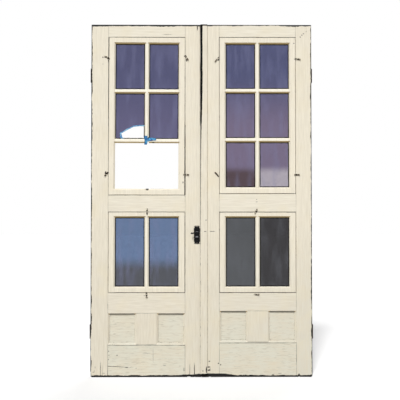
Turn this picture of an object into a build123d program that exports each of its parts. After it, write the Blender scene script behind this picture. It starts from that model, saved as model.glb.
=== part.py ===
from build123d import *
import math
import os

# Pair of storm doors: two stile-and-rail leaves with lift-out glazed sashes, millimetres.
# X runs across the pair from the meeting line, Y from the room side outwards, Z up from the foot of the
# leaves. The room side, with the turn buttons and the latch case, faces -Y.

# Leaves
leaf_width = 704.0
leaf_thickness = 35.0
meeting_gap = 3.0
left_hinge_stile_width = 110.0
left_meeting_stile_width = 103.0
right_hinge_stile_width = 101.0
right_meeting_stile_width = 112.0
bottom_rail_height = 206.0
right_bottom_rail_height = 221.0
panel_opening_height = 197.0
panel_rail_height = 129.0
lower_opening_height = 516.0
lock_rail_height = 106.0
right_lock_rail_height = 115.0
upper_opening_height = 1016.0
top_rail_height = 80.0
panel_muntin_width = 128.0
arris = 1.2

# Joinery of the leaves
tenon_thickness = 12.0
tenon_length = 60.0
tenon_shoulder = 18.0
mortise_spare = 1.0
lip_width = 12.0
panel_thickness = 15.0
sticking_bevel = 10.0
sticking_ledge = 2.0
sticking_depth = 8.0
panel_tongue = 10.0
panel_play = 1.0

# Sashes
sash_thickness = 22.0
sash_clearance = 2.5
left_upper_sash_lean = 0.2
sash_stile_width = 40.0
upper_sash_rail = 40.0
lower_sash_top_rail = 33.0
lower_sash_bottom_rail = 37.0
bar_width = 27.0
upper_rows = 3
light_columns = 2
bevel_width = 8.0
bevel_depth = 8.0
glass_seat_depth = 10.0
rabbet_width = 6.35
sash_tenon_thickness = 8.0
sash_tenon_height = 20.0
sash_tenon_length = 25.0
bar_tenon_width = 8.0
bar_tenon_length = 9.0

# Glazing
glass_thickness = 3.0
glass_clearance = 1.5
putty_feather = 0.4

# Damage in the left upper sash
break_above_bar = 13.0
tape_thickness = 0.7
tape_reach = 52.0
tape_side = 12.0
tape_rise = 27.0
pane_tape_width = 9.0
pane_tape_thickness = 0.35

# Cracks and chips at the foot and head of the leaves
crack_depth = 6.0
chip_depth = 13.0
notch_depth = 10.0
nick_depth = 3.0

# Astragal on the right leaf
astragal_width = 44.0
astragal_thickness = 9.5
astragal_lap = 5.0
astragal_foot = 8.0
astragal_relief = 0.5

# Turn buttons
button_length = 38.0
button_width = 9.0
button_thickness = 3.5
button_tail = 5.5
button_easing = 0.875
button_float = 0.3
button_screw_radius = 2.2
button_screw_head = 4.0
button_screw_length = 18.0
screw_head_height = 2.5
screw_slot_width = 1.0
screw_slot_depth = 1.0
first_slot_angle = 25.0
slot_angle_step = 40.0
running_clearance = 0.08
pilot_clearance = 0.05

# Butt hinges
hinge_height = 89.0
hinge_plate = 2.5
hinge_depth = 30.0
hinge_gap = 3.0
knuckle_radius = 5.5
knuckle_standoff = 0.5
knuckle_count = 5
knuckle_clearance = 0.3
hinge_pin_radius = 3.0
hinge_pin_tip = 4.0
hinge_pin_tip_radius = 4.5
upper_hinge_from_top = 326.0
lower_hinge_from_foot = 286.0
hinge_hole_radius = 2.25
hinge_hole_spacing = 65.0
hinge_hole_inset = 7.5
middle_hole_inset = 19.5
hinge_screw_head = 4.0
hinge_screw_length = 24.0
hinge_screw_slot_depth = 0.8
countersink_depth = 1.2

# Latch on the left meeting stile
latch_plate_width = 38.0
latch_plate_height = 112.0
latch_plate_thickness = 2.5
latch_plate_inset = 8.5
latch_centre_height = 901.5
latch_horn = 4.5
case_width = 30.0
case_height = 38.0
case_depth = 18.5
case_above_centre = 3.5
case_wall = 2.1
case_easing = 1.7
spindle_above_centre = 13.5
spindle_radius = 3.5
crank_radius = 15.0
crank_thickness = 3.0
crank_pin_radius = 2.0
crank_eye_wall = 1.5
crank_hub_wall = 2.5
latch_turn = 55.6
bolt_height = 13.0
bolt_thickness = 6.0
slide_clearance = 0.3
lever_ball_radius = 5.5
lever_reach = 33.5
lever_projection = 28.5
lever_drop = 2.5
lever_arm_width = 5.0
lever_arm_thickness = 3.6
lever_arm_inset = 0.6
lever_arm_swell = 1.0
lever_bend = 4.0
lever_tail = 12.0
small_easing = 1.0
hub_radius = 6.5
rose_radius = 19.0
rose_thickness = 3.0
knob_radius = 14.0
knob_neck_radius = 6.0
knob_bore_depth = 14.2
spindle_end_play = 0.2
hub_length = 5.0
lever_seat_depth = 3.5
latch_screw_radius = 1.8
latch_screw_head = 3.6
latch_screw_length = 16.0
upper_latch_screw = 40.0
lower_latch_screw = -36.0
rose_screw_spacing = 27.0

# How far a cutter runs past the face that it cuts
past = 1.0

# Places that follow from the sizes above
front = -leaf_thickness / 2
back = leaf_thickness / 2
half_pair = meeting_gap / 2 + leaf_width
lower_foot = bottom_rail_height + panel_opening_height + panel_rail_height
lower_head = lower_foot + lower_opening_height
upper_head = lower_head + lock_rail_height + upper_opening_height
leaf_height = upper_head + top_rail_height
sash_back = front + sash_thickness
glass_front = front + glass_seat_depth
glass_back = glass_front + glass_thickness
sticking_width = sticking_bevel + sticking_ledge
latch_x = -(meeting_gap / 2 + latch_plate_inset + latch_plate_width / 2)
spindle_z = latch_centre_height + spindle_above_centre
latch_half_turn = math.radians(latch_turn / 2)
bolt_throw = 2 * crank_radius * math.sin(latch_half_turn)
crank_rise = crank_radius * (1 - math.cos(latch_half_turn))
bolt_z = spindle_z - crank_radius + crank_rise / 2
case_face = front - case_depth

LEFT = -1
RIGHT = 1


def panel_span(side):
    """Foot and head of a leaf's panel openings; they stand higher in the right leaf."""
    foot = bottom_rail_height if side == LEFT else right_bottom_rail_height
    return foot, foot + panel_opening_height


def sash_spans(side):
    """Foot and head of a leaf's two sash openings; the right leaf's lock rail is taller."""
    lock_rail = lock_rail_height if side == LEFT else right_lock_rail_height
    return {"lower": (lower_foot, lower_head), "upper": (lower_head + lock_rail, upper_head)}


def block(x0, x1, y0, y1, z0, z1):
    """A box between two corners."""
    centre = Pos((x0 + x1) / 2, (y0 + y1) / 2, (z0 + z1) / 2)
    return centre * Box(abs(x1 - x0), abs(y1 - y0), abs(z1 - z0))


def facing_room(x, y, z, angle=0.0):
    """A plane seen from the room: its x turned by angle, its z towards the room."""
    turn = math.radians(angle)
    return Plane(origin=(x, y, z), x_dir=(math.cos(turn), 0, math.sin(turn)), z_dir=(0, -1, 0))


def frustum(x0, x1, z0, z1, y_a, grow_a, y_b, grow_b):
    """A tapered box along Y: the rectangle grown by grow_a at y_a and by grow_b at y_b."""
    width = abs(x1 - x0)
    height = abs(z1 - z0)
    x = (x0 + x1) / 2
    z = (z0 + z1) / 2
    end_a = facing_room(x, y_a, z) * Rectangle(width + 2 * grow_a, height + 2 * grow_a)
    end_b = facing_room(x, y_b, z) * Rectangle(width + 2 * grow_b, height + 2 * grow_b)
    return loft([end_a, end_b])


def prism(points, y0, y1):
    """A polygon of x, z points carried from y0 to y1."""
    outline = Polyline([(x, y0, z) for x, z in points], close=True)
    return extrude(make_face(outline), amount=y1 - y0, dir=(0, 1, 0))


def rod(start, direction, radius, length):
    """A cylinder from a point along a direction."""
    base = Plane(origin=start, z_dir=direction)
    return base * Cylinder(radius, length, align=(Align.CENTER, Align.CENTER, Align.MIN))


def cone(start, direction, radius_a, radius_b, length):
    """A cone frustum from a point along a direction."""
    base = Plane(origin=start, z_dir=direction)
    return base * Cone(radius_a, radius_b, length, align=(Align.CENTER, Align.CENTER, Align.MIN))


def leaf_x(side, across):
    """X at a distance across a leaf, measured from its hinge edge."""
    return side * (half_pair - across)


def opening_span(side):
    """Distances across a leaf at which its openings start and end."""
    if side == LEFT:
        return left_hinge_stile_width, leaf_width - left_meeting_stile_width
    return right_hinge_stile_width, leaf_width - right_meeting_stile_width


def opening_edges(side):
    """X of an opening's hinge-side and meeting-side edges."""
    start, end = opening_span(side)
    return leaf_x(side, start), leaf_x(side, end)


def panel_edges(side):
    """X of the hinge-side and meeting-side edges of the two panel openings."""
    start, end = opening_span(side)
    panel_width = (end - start - panel_muntin_width) / 2
    edges = [leaf_x(side, stop) for stop in (start, start + panel_width, end - panel_width, end)]
    return [(edges[0], edges[1]), (edges[2], edges[3])]


def shrink(x0, x1, inset):
    """The span from x0 to x1 with both ends moved in."""
    low, high = min(x0, x1), max(x0, x1)
    return low + inset, high - inset


# Solids that several pieces of a leaf are cut by

def sticking_cutters(side):
    """The bevelled mouths of both panel openings, on both faces."""
    cutters = []
    slope = sticking_bevel / sticking_depth
    foot, head = panel_span(side)
    for x0, x1 in panel_edges(side):
        for face, away in ((front, -1), (back, 1)):
            mouth = face + away * past
            depth = face - away * sticking_depth
            start = slope * past
            cutters.append(frustum(x0, x1, foot, head, mouth, start, depth, -sticking_bevel))
    return cutters


def panel_grooves(side):
    """Grooves in which the panels stand."""
    inset = sticking_width - panel_tongue - panel_play
    foot, head = panel_span(side)
    grooves = []
    for x0, x1 in panel_edges(side):
        low, high = shrink(x0, x1, inset)
        half = panel_thickness / 2
        grooves.append(block(low, high, -half, half, foot + inset, head - inset))
    return grooves


def eased_mouths(side):
    """The eased front arrises round the two sash openings."""
    x0, x1 = opening_edges(side)
    mouths = []
    for z0, z1 in sash_spans(side).values():
        mouths.append(frustum(x0, x1, z0, z1, front - arris, 2 * arris, front + arris, 0))
    return mouths


def rail_tenon(side, across, z0, z1, spare=0.0):
    """A rail's tenon, which starts at a stile's edge and runs into the stile."""
    into = -1 if across < leaf_width / 2 else 1
    end = across + into * (tenon_length + spare)
    half = tenon_thickness / 2
    z_low = z0 + tenon_shoulder
    z_high = z1 - tenon_shoulder
    return block(leaf_x(side, across), leaf_x(side, end), -half, half, z_low, z_high)


def rails(side):
    """Foot and head of each rail of a leaf."""
    panel_foot, panel_head = panel_span(side)
    return {
        "bottom_rail": (0.0, panel_foot),
        "panel_rail": (panel_head, lower_foot),
        "lock_rail": (lower_head, sash_spans(side)["upper"][0]),
        "top_rail": (upper_head, leaf_height),
    }


def muntin_tenons(side, spare=0.0):
    """The panel muntin's tenons into the rails above and below."""
    (_, inner), (outer, _) = panel_edges(side)
    low, high = shrink(inner, outer, tenon_shoulder)
    half = tenon_thickness / 2
    reach = tenon_length / 2 + spare
    foot, head = panel_span(side)
    below = block(low, high, -half, half, foot - reach, foot)
    above = block(low, high, -half, half, head, head + reach)
    return [below, above]


# Turn buttons: opening, edge, distance in from the edge, distance along it, direction of the long end.
# Along is from the opening's nearer corner on a stile, and from the middle on a rail.
TURN_BUTTONS = {
    LEFT: [
        ("upper_left", "upper", "left", 21.0, -125.0, -30.0),
        ("upper_right", "upper", "right", 17.0, -146.0, 120.0),
        ("middle_left", "upper", "left", 20.5, 126.0, 47.0),
        ("middle_right", "upper", "right", 20.0, 130.0, 180.0),
        ("lower_top", "lower", "above", 18.6, 2.6, -90.0),
        ("lower_bottom", "lower", "below", 28.0, 0.0, 90.0),
    ],
    RIGHT: [
        ("upper_left", "upper", "left", 25.0, -156.0, 45.0),
        ("upper_right", "upper", "right", 27.5, -143.0, 175.0),
        ("middle_left", "upper", "left", 24.5, 135.0, -48.0),
        ("middle_right", "upper", "right", 20.5, 122.0, 180.0),
        ("lower_top", "lower", "above", 15.0, -4.0, -115.0),
        ("lower_bottom", "lower", "below", 12.0, 7.0, 175.0),
    ],
}


def button_pivots(side):
    """Name, x, z and direction of each turn button of a leaf."""
    low, high = sorted(opening_edges(side))
    spans = sash_spans(side)
    pivots = []
    for name, opening, edge, inset, along, angle in TURN_BUTTONS[side]:
        foot, head = spans[opening]
        if edge in ("left", "right"):
            x = low - inset if edge == "left" else high + inset
            z = foot + along if along > 0 else head + along
        else:
            x = (low + high) / 2 + along
            z = head + inset if edge == "above" else foot - inset
        pivots.append((name, x, z, angle))
    return pivots


def button_pilots(side):
    """Pilot holes for the turn buttons' screws."""
    radius = button_screw_radius + pilot_clearance
    places = [(x, front, z) for _, x, z, _ in button_pivots(side)]
    return [rod(place, (0, 1, 0), radius, button_screw_length) for place in places]


# Hinge places

def hinge_heights():
    return [lower_hinge_from_foot, leaf_height - upper_hinge_from_top]


def hinge_axis(side):
    """X and Y of the hinge pins' axis."""
    return side * (half_pair + hinge_gap / 2), back + knuckle_radius + knuckle_standoff


def hinge_holes(height):
    """Y and Z of the three screw holes in a hinge leaf."""
    edge = back - hinge_depth
    return [
        (edge + hinge_hole_inset, height - hinge_hole_spacing / 2),
        (edge + middle_hole_inset, height),
        (edge + hinge_hole_inset, height + hinge_hole_spacing / 2),
    ]


def hinge_gains(side):
    """Recesses in the stile's edge, and pilot holes for the hinge screws."""
    cutters = []
    edge = side * half_pair
    bed = side * (half_pair - hinge_plate)
    radius = hinge_hole_radius - running_clearance + pilot_clearance
    y0 = back - hinge_depth - pilot_clearance
    for height in hinge_heights():
        z0 = height - hinge_height / 2 - pilot_clearance
        z1 = height + hinge_height / 2 + pilot_clearance
        cutters.append(block(bed, edge + side * past, y0, back + past, z0, z1))
        for y, z in hinge_holes(height):
            cutters.append(rod((edge, y, z), (-side, 0, 0), radius, hinge_screw_length + mortise_spare))
    return cutters


# Latch places

def latch_bores():
    """Bores for the spindle and the latch screws in the left meeting stile."""
    spindle_bore = 2 * spindle_radius + slide_clearance
    cutters = [rod((latch_x, front - past, spindle_z), (0, 1, 0), spindle_bore, leaf_thickness + 2 * past)]
    radius = latch_screw_radius + pilot_clearance
    for offset in (upper_latch_screw, lower_latch_screw):
        start = (latch_x, front, latch_centre_height + offset)
        cutters.append(rod(start, (0, 1, 0), radius, latch_screw_length))
    for offset in (-rose_screw_spacing / 2, rose_screw_spacing / 2):
        start = (latch_x, back, spindle_z + offset)
        cutters.append(rod(start, (0, -1, 0), radius, latch_screw_length / 2))
    return cutters


# Cracks and broken corners at the foot of the leaves

def cut_shape(x, points, depth):
    """A shape sunk into the room face; its x values are counted from a place on the leaf."""
    return prism([(x + dx, z) for dx, z in points], front - past, front + depth)


def upright_crack(x, height, width):
    """A drying crack that runs up from the foot and narrows."""
    half = width / 2
    return cut_shape(x, [(-half, -past), (half, -past), (half / 2, height)], crack_depth)


def stile_damage(side, hinge_side):
    """Cracks, chips and notches of one stile."""
    edge = leaf_x(side, 0.0 if hinge_side else leaf_width)
    if side == LEFT and hinge_side:
        chip = [(-past, -past), (9, -past), (5, 9), (6, 21), (2, 34), (-past, 40)]
        return [upright_crack(edge + 76, 88, 2.2), cut_shape(edge, chip, chip_depth)]
    if side == LEFT:
        notch = [(-91, -past), (-67, -past), (-70, 6), (-77, 17), (-82, 12), (-88, 8)]
        split = [(-22, leaf_height + past), (-20, leaf_height + past), (-24, leaf_height - 30)]
        cracks = [upright_crack(edge - 42, 84, 2.4), upright_crack(edge - 74, 84, 1.6)]
        return cracks + [cut_shape(edge, notch, chip_depth), cut_shape(edge, split, crack_depth)]
    if hinge_side:
        chip = [(past, -past), (-8, -past), (-6, 6), (-3, 13), (past, 16)]
        notch = [(-91, -past), (-78, -past), (-81, 7), (-86, 11), (-89, 5)]
        return [cut_shape(edge, chip, chip_depth), cut_shape(edge, notch, notch_depth)]
    notch = [(44, -past), (59, -past), (56, 6), (50, 9)]
    nick = [(46, 48), (52, 47), (60, 51), (51, 53)]
    return [cut_shape(edge, notch, notch_depth), cut_shape(edge, nick, nick_depth)]


def rail_damage(side, name):
    """The crack along the left bottom rail."""
    if side == LEFT and name == "bottom_rail":
        crack = [(-past, 67), (70, 64), (148, 60), (148, 61), (70, 67), (-past, 70)]
        return [cut_shape(opening_edges(LEFT)[0], crack, crack_depth)]
    return []


# Leaf members

def stile(side, hinge_side):
    """A stile with its sash lips, panel sticking, mortises and grooves."""
    start, end = opening_span(side)
    outer, inner, into = (0.0, start, 1) if hinge_side else (leaf_width, end, -1)
    x_outer = leaf_x(side, outer)
    x_inner = leaf_x(side, inner)
    body = block(x_outer, x_inner, front, back, 0, leaf_height)
    edges = body.edges().filter_by(Axis.Z).sort_by_distance((x_outer, 0, leaf_height / 2))[:2]
    body = chamfer(edges, arris)
    x_lip = leaf_x(side, inner + into * lip_width)
    for z0, z1 in sash_spans(side).values():
        body += block(x_inner, x_lip, sash_back, back, z0, z1)
    x_sticking = leaf_x(side, inner + into * sticking_width)
    body += block(x_inner, x_sticking, front, back, *panel_span(side))
    cutters = sticking_cutters(side) + panel_grooves(side) + eased_mouths(side)
    cutters += [rail_tenon(side, inner, z0, z1, mortise_spare) for z0, z1 in rails(side).values()]
    cutters += button_pilots(side)
    cutters += stile_damage(side, hinge_side)
    if hinge_side:
        cutters += hinge_gains(side)
    elif side == LEFT:
        cutters += latch_bores()
    return body - cutters


def rail(side, name):
    """A rail between the stiles, with its tenons and the lips or sticking along its edges."""
    z0, z1 = rails(side)[name]
    x0, x1 = opening_edges(side)
    body = block(x0, x1, front, back, z0, z1)
    low, high = shrink(x0, x1, lip_width)
    if name in ("top_rail", "lock_rail"):
        body += block(low, high, sash_back, back, z0 - lip_width, z0)
    if name in ("lock_rail", "panel_rail"):
        body += block(low, high, sash_back, back, z1, z1 + lip_width)
    for panel in panel_edges(side):
        low, high = shrink(*panel, sticking_width)
        if name == "bottom_rail":
            body += block(low, high, front, back, z1, z1 + sticking_width)
        if name == "panel_rail":
            body += block(low, high, front, back, z0 - sticking_width, z0)
    for across in opening_span(side):
        body += rail_tenon(side, across, z0, z1)
    cutters = sticking_cutters(side) + panel_grooves(side) + eased_mouths(side)
    cutters += button_pilots(side) + rail_damage(side, name)
    if name in ("bottom_rail", "panel_rail"):
        cutters += muntin_tenons(side, mortise_spare)
    return body - cutters


def panel_muntin(side):
    """The wide upright between the panels."""
    (_, inner), (outer, _) = panel_edges(side)
    low, high = shrink(inner, outer, -sticking_width)
    body = block(low, high, front, back, *panel_span(side))
    body = body - (sticking_cutters(side) + panel_grooves(side))
    for tenon in muntin_tenons(side):
        body += tenon
    return body


def panels(side):
    """The two flat panels of a leaf."""
    inset = sticking_width - panel_tongue
    half = panel_thickness / 2
    foot, head = panel_span(side)
    boards = []
    for x0, x1 in panel_edges(side):
        low, high = shrink(x0, x1, inset)
        boards.append(block(low, high, -half, half, foot + inset, head - inset))
    return boards


# Sashes

class SashPlan:
    """Where the stiles, rails, bars and lights of one sash lie."""

    def __init__(self, side, upper):
        low, high = sorted(opening_edges(side))
        foot, head = sash_spans(side)["upper" if upper else "lower"]
        self.x0 = low + sash_clearance
        self.x1 = high - sash_clearance
        self.z0 = foot + sash_clearance
        self.z1 = head - sash_clearance
        self.rows = upper_rows if upper else 1
        self.bottom_rail = upper_sash_rail if upper else lower_sash_bottom_rail
        self.top_rail = upper_sash_rail if upper else lower_sash_top_rail
        self.sight_x0 = self.x0 + sash_stile_width
        self.sight_x1 = self.x1 - sash_stile_width
        self.sight_z0 = self.z0 + self.bottom_rail
        self.sight_z1 = self.z1 - self.top_rail
        clear_width = self.sight_x1 - self.sight_x0 - (light_columns - 1) * bar_width
        clear_height = self.sight_z1 - self.sight_z0 - (self.rows - 1) * bar_width
        self.light_width = clear_width / light_columns
        self.light_height = clear_height / self.rows

    def light(self, column, row):
        """Edges of one light; rows count up from the bottom."""
        x = self.sight_x0 + column * (self.light_width + bar_width)
        z = self.sight_z0 + row * (self.light_height + bar_width)
        return x, x + self.light_width, z, z + self.light_height

    def lights(self):
        return [(column, row) for row in range(self.rows) for column in range(light_columns)]

    def bar_heights(self):
        """Foot of each horizontal bar."""
        return [self.light(0, row)[3] for row in range(self.rows - 1)]

    def bar_x(self):
        """Left edge of the upright bar."""
        return self.light(0, 0)[1]


def light_cutters(plan):
    """Bevelled mouth, sight hole and glazing rabbet of every light of a sash."""
    cutters = []
    slope = bevel_width / bevel_depth
    for column, row in plan.lights():
        x0, x1, z0, z1 = plan.light(column, row)
        depth = front + bevel_depth
        cutters.append(frustum(x0, x1, z0, z1, front - past, bevel_width + slope * past, depth, 0))
        cutters.append(block(x0, x1, depth - past, glass_front + past, z0, z1))
        rim = rabbet_width
        cutters.append(block(x0 - rim, x1 + rim, glass_front, sash_back + past, z0 - rim, z1 + rim))
    return cutters


def sash_tenon_span():
    """Front and back of the tenons inside the sash."""
    middle = front + sash_thickness / 2
    return middle - sash_tenon_thickness / 2, middle + sash_tenon_thickness / 2


def sash_frame_tenons(plan, spare=0.0):
    """Tenons of the sash rails into the sash stiles: bottom left, bottom right, top left, top right."""
    y0, y1 = sash_tenon_span()
    tenons = []
    for z0, z1 in ((plan.z0, plan.sight_z0), (plan.sight_z1, plan.z1)):
        middle = (z0 + z1) / 2
        low = middle - sash_tenon_height / 2
        high = middle + sash_tenon_height / 2
        reach = sash_tenon_length + spare
        tenons.append(block(plan.sight_x0 - reach, plan.sight_x0, y0, y1, low, high))
        tenons.append(block(plan.sight_x1, plan.sight_x1 + reach, y0, y1, low, high))
    return tenons


def upright_bar_tenons(plan, spare=0.0):
    """Tenons of the upright bar: into the bottom rail, then into the top rail."""
    y0, y1 = sash_tenon_span()
    middle = plan.bar_x() + bar_width / 2
    low = middle - bar_tenon_width / 2
    high = middle + bar_tenon_width / 2
    reach = bar_tenon_length + spare
    return [
        block(low, high, y0, y1, plan.sight_z0 - reach, plan.sight_z0),
        block(low, high, y0, y1, plan.sight_z1, plan.sight_z1 + reach),
    ]


def short_bar_tenons(plan, foot, column):
    """Stub tenons at both ends of a short bar."""
    y0, y1 = sash_tenon_span()
    x0, x1, _, _ = plan.light(column, 0)
    middle = foot + bar_width / 2
    low = middle - bar_tenon_width / 2
    high = middle + bar_tenon_width / 2
    return [
        block(x0 - bar_tenon_length, x0, y0, y1, low, high),
        block(x1, x1 + bar_tenon_length, y0, y1, low, high),
    ]


def all_short_bar_tenons(plan):
    tenons = []
    for foot in plan.bar_heights():
        for column in range(light_columns):
            tenons += short_bar_tenons(plan, foot, column)
    return tenons


def sash_frame(side, upper):
    """Two stiles and two rails of a sash."""
    plan = SashPlan(side, upper)
    cutters = light_cutters(plan) + all_short_bar_tenons(plan)
    stile_cutters = cutters + sash_frame_tenons(plan, pilot_clearance)
    members = []
    for x0, x1 in ((plan.x0, plan.sight_x0), (plan.sight_x1, plan.x1)):
        blank = block(x0, x1, front, sash_back, plan.z0, plan.z1)
        outer = (x0 if x0 == plan.x0 else x1, front, (plan.z0 + plan.z1) / 2)
        edge = blank.edges().filter_by(Axis.Z).sort_by_distance(outer)[:1]
        members.append(chamfer(edge, arris) - stile_cutters)
    tenons = sash_frame_tenons(plan)
    mortises = upright_bar_tenons(plan, pilot_clearance)
    for index, (z0, z1) in enumerate(((plan.z0, plan.sight_z0), (plan.sight_z1, plan.z1))):
        blank = block(plan.sight_x0, plan.sight_x1, front, sash_back, z0, z1)
        outer = ((plan.x0 + plan.x1) / 2, front, z0 if z0 == plan.z0 else z1)
        edge = blank.edges().filter_by(Axis.X).sort_by_distance(outer)[:1]
        member = chamfer(edge, arris) - (cutters + mortises)
        for tenon in tenons[2 * index:2 * index + 2]:
            member += tenon
        members.append(member)
    return members


def break_line(plan):
    """Ragged lower end of the broken upright bar: x, z points from left to right."""
    x = plan.bar_x()
    z = plan.bar_heights()[0] + bar_width + break_above_bar
    teeth = [(-past, 4), (4, -2), (7, 5), (12, -5), (16, 1), (21, -7), (bar_width + past, 3)]
    return [(x + dx, z + dz) for dx, dz in teeth]


def sash_bars(side, upper):
    """The upright bar, then the short bars either side of it."""
    plan = SashPlan(side, upper)
    broken = side == LEFT and upper
    cutters = light_cutters(plan)
    x0 = plan.bar_x()
    upright = block(x0, x0 + bar_width, front, sash_back, plan.sight_z0, plan.sight_z1)
    upright = upright - (cutters + all_short_bar_tenons(plan))
    tenons = upright_bar_tenons(plan)
    upright += tenons[1]
    if broken:
        foot = plan.sight_z0 - past
        lost = [(x0 - past, foot)] + break_line(plan) + [(x0 + bar_width + past, foot)]
        upright = upright - prism(lost, front - past, sash_back + past)
    else:
        upright += tenons[0]
    bars = [upright]
    for foot in plan.bar_heights():
        for column in range(light_columns):
            left, right, _, _ = plan.light(column, 0)
            bar = block(left, right, front, sash_back, foot, foot + bar_width) - cutters
            for tenon in short_bar_tenons(plan, foot, column):
                bar += tenon
            bars.append(bar)
    return bars


# Glazing

def pane(plan, column, row):
    x0, x1, z0, z1 = plan.light(column, row)
    reach = rabbet_width - glass_clearance
    return block(x0 - reach, x1 + reach, glass_front, glass_back, z0 - reach, z1 + reach)


def putty_ring(plan, column, row):
    """Putty that fills the rabbet behind a pane and slopes to the sash's back face."""
    x0, x1, z0, z1 = plan.light(column, row)
    rabbet = rabbet_width
    ring = block(x0 - rabbet, x1 + rabbet, glass_back, sash_back, z0 - rabbet, z1 + rabbet)
    return ring - frustum(x0, x1, z0, z1, glass_back, 0, sash_back, rabbet - putty_feather)


BROKEN_LIGHT = (0, 1)
EMPTY_LIGHTS = [(0, 0), (1, 0)]


def glass_break(plan):
    """Edge of the hole in the broken pane, from its right sight edge round to the lower one."""
    _, right, foot, _ = plan.light(*BROKEN_LIGHT)
    steps = [(0, 82), (-32, 84), (-72, 79), (-106, 62), (-131, 48), (-151, 37), (-146, 13), (-133, 0)]
    return [(right + dx, foot + dz) for dx, dz in steps]


def broken_pane():
    """The pane with its lower right corner broken out."""
    plan = SashPlan(LEFT, True)
    edge = glass_break(plan)
    beyond = 2 * rabbet_width
    (x_first, z_first), (x_last, z_last) = edge[0], edge[-1]
    corner = [(x_last, z_last - beyond), (x_first + beyond, z_last - beyond)]
    hole = [(x_first + beyond, z_first)] + edge + corner
    return pane(plan, *BROKEN_LIGHT) - prism(hole, glass_front - past, glass_back + past)


def offset_line(points, distance):
    """The points of an open line moved to its right-hand side, seen from the room."""
    moved = []
    for index, (x, z) in enumerate(points):
        before = points[max(index - 1, 0)]
        after = points[min(index + 1, len(points) - 1)]
        run_x, run_z = after[0] - before[0], after[1] - before[1]
        length = math.hypot(run_x, run_z)
        moved.append((x + distance * run_z / length, z - distance * run_x / length))
    return moved


def pane_tape():
    """Blue tape folded over the broken edge of the pane."""
    plan = SashPlan(LEFT, True)
    edge = glass_break(plan)
    inner = offset_line(edge, -pane_tape_thickness)
    outer = offset_line(edge, pane_tape_width)
    left, right, foot, head = plan.light(*BROKEN_LIGHT)
    margin = pane_tape_thickness
    band = prism(inner + outer[::-1], glass_front - margin, glass_back + margin)
    seen = block(left, right - margin, front, sash_back, foot + margin, head)
    return (band & seen) - broken_pane()


def junction_tape():
    """Blue tape wound round the stump of the upright bar and the bar to its right."""
    plan = SashPlan(LEFT, True)
    x0 = plan.bar_x()
    x1 = x0 + bar_width
    foot = plan.bar_heights()[0]
    head = foot + bar_width
    wrap = tape_thickness
    y0 = front - wrap
    y1 = glass_front - wrap
    across = block(x0 - tape_side, x1 + tape_reach, y0, y1, foot - wrap, head + wrap)
    upright = block(x0 - wrap, x1 + wrap, y0, y1, head, head + tape_rise)
    mouth = bevel_width + past * bevel_width / bevel_depth - wrap
    deep = front + bevel_depth
    shell = across + upright
    for light in EMPTY_LIGHTS + [BROKEN_LIGHT, (1, 1)]:
        lx0, lx1, lz0, lz1 = plan.light(*light)
        shell -= frustum(lx0, lx1, lz0, lz1, y0 - past, mouth, deep, -wrap)
        shell -= block(lx0 + wrap, lx1 - wrap, deep - past, sash_back, lz0 + wrap, lz1 - wrap)
    low, high = x0 - tape_side - past, x1 + tape_reach + past
    wood = block(low, high, front, sash_back, foot, head + tape_rise + past)
    return shell - (wood - light_cutters(plan))


# Turn buttons and their screws

def turn_button(x, z, angle):
    """A thin bar with round ends that turns on a screw near one end."""
    slot_run = button_length - button_width
    offset = button_length / 2 - button_tail
    bar = Pos(offset, 0, 0) * extrude(SlotCenterToCenter(slot_run, button_width), amount=button_thickness)
    rim = bar.edges().group_by(Axis.Z)[-1]
    bar = chamfer(rim, button_easing)
    bar -= Cylinder(button_screw_radius + running_clearance, 4 * button_thickness)
    return facing_room(x, front - button_float, z, angle) * bar


def button_screw(x, z, slot_angle):
    """A slotted round-head screw."""
    under_head = button_float + button_thickness + button_float / 2
    shank = rod((0, 0, under_head), (0, 0, -1), button_screw_radius, under_head + button_screw_length)
    head = rod((0, 0, under_head), (0, 0, 1), button_screw_head, screw_head_height)
    head = fillet(head.edges().group_by(Axis.Z)[-1], screw_head_height / 2)
    cut = Box(3 * button_screw_head, screw_slot_width, 2 * screw_slot_depth)
    slot = Pos(0, 0, under_head + screw_head_height) * Rot(0, 0, slot_angle) * cut
    return facing_room(x, front, z) * ((shank + head) - slot)


# Hinges

def knuckle_spans(height):
    """Foot and head of each knuckle, from the lowest up."""
    pitch = hinge_height / knuckle_count
    foot = height - hinge_height / 2
    return [(foot + index * pitch, foot + (index + 1) * pitch) for index in range(knuckle_count)]


def hinge_leaf(side, height, at_jamb):
    """One leaf of a butt hinge: a plate with its share of the knuckles."""
    axis_x, axis_y = hinge_axis(side)
    near = half_pair + hinge_gap if at_jamb else half_pair - hinge_plate
    x0, x1 = side * near, side * (near + hinge_plate)
    z0 = height - hinge_height / 2
    plate = block(x0, x1, back - hinge_depth, axis_y, z0, z0 + hinge_height)
    own = 0 if at_jamb else 1
    for index, (foot, head) in enumerate(knuckle_spans(height)):
        mine = index % 2 == own
        if not mine:
            spare = knuckle_clearance
            start = (axis_x, axis_y, foot - spare / 2)
            plate -= rod(start, (0, 0, 1), knuckle_radius + 2 * spare, head - foot + spare)
    for index, (foot, head) in enumerate(knuckle_spans(height)):
        if index % 2 == own:
            spare = knuckle_clearance / 2
            low = foot if index == 0 else foot + spare
            high = head if index == knuckle_count - 1 else head - spare
            plate += rod((axis_x, axis_y, low), (0, 0, 1), knuckle_radius, high - low)
    bore = hinge_pin_radius + (pilot_clearance if at_jamb else running_clearance)
    plate -= rod((axis_x, axis_y, z0 - past), (0, 0, 1), bore, hinge_height + 2 * past)
    for y, z in hinge_holes(height):
        face = side * (half_pair + hinge_gap) if at_jamb else side * half_pair
        into = side if at_jamb else -side
        plate -= rod((face - past * into, y, z), (into, 0, 0), hinge_hole_radius, hinge_plate + 2 * past)
        plate -= cone((face, y, z), (into, 0, 0), hinge_screw_head, hinge_hole_radius, countersink_depth)
    return plate


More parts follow.
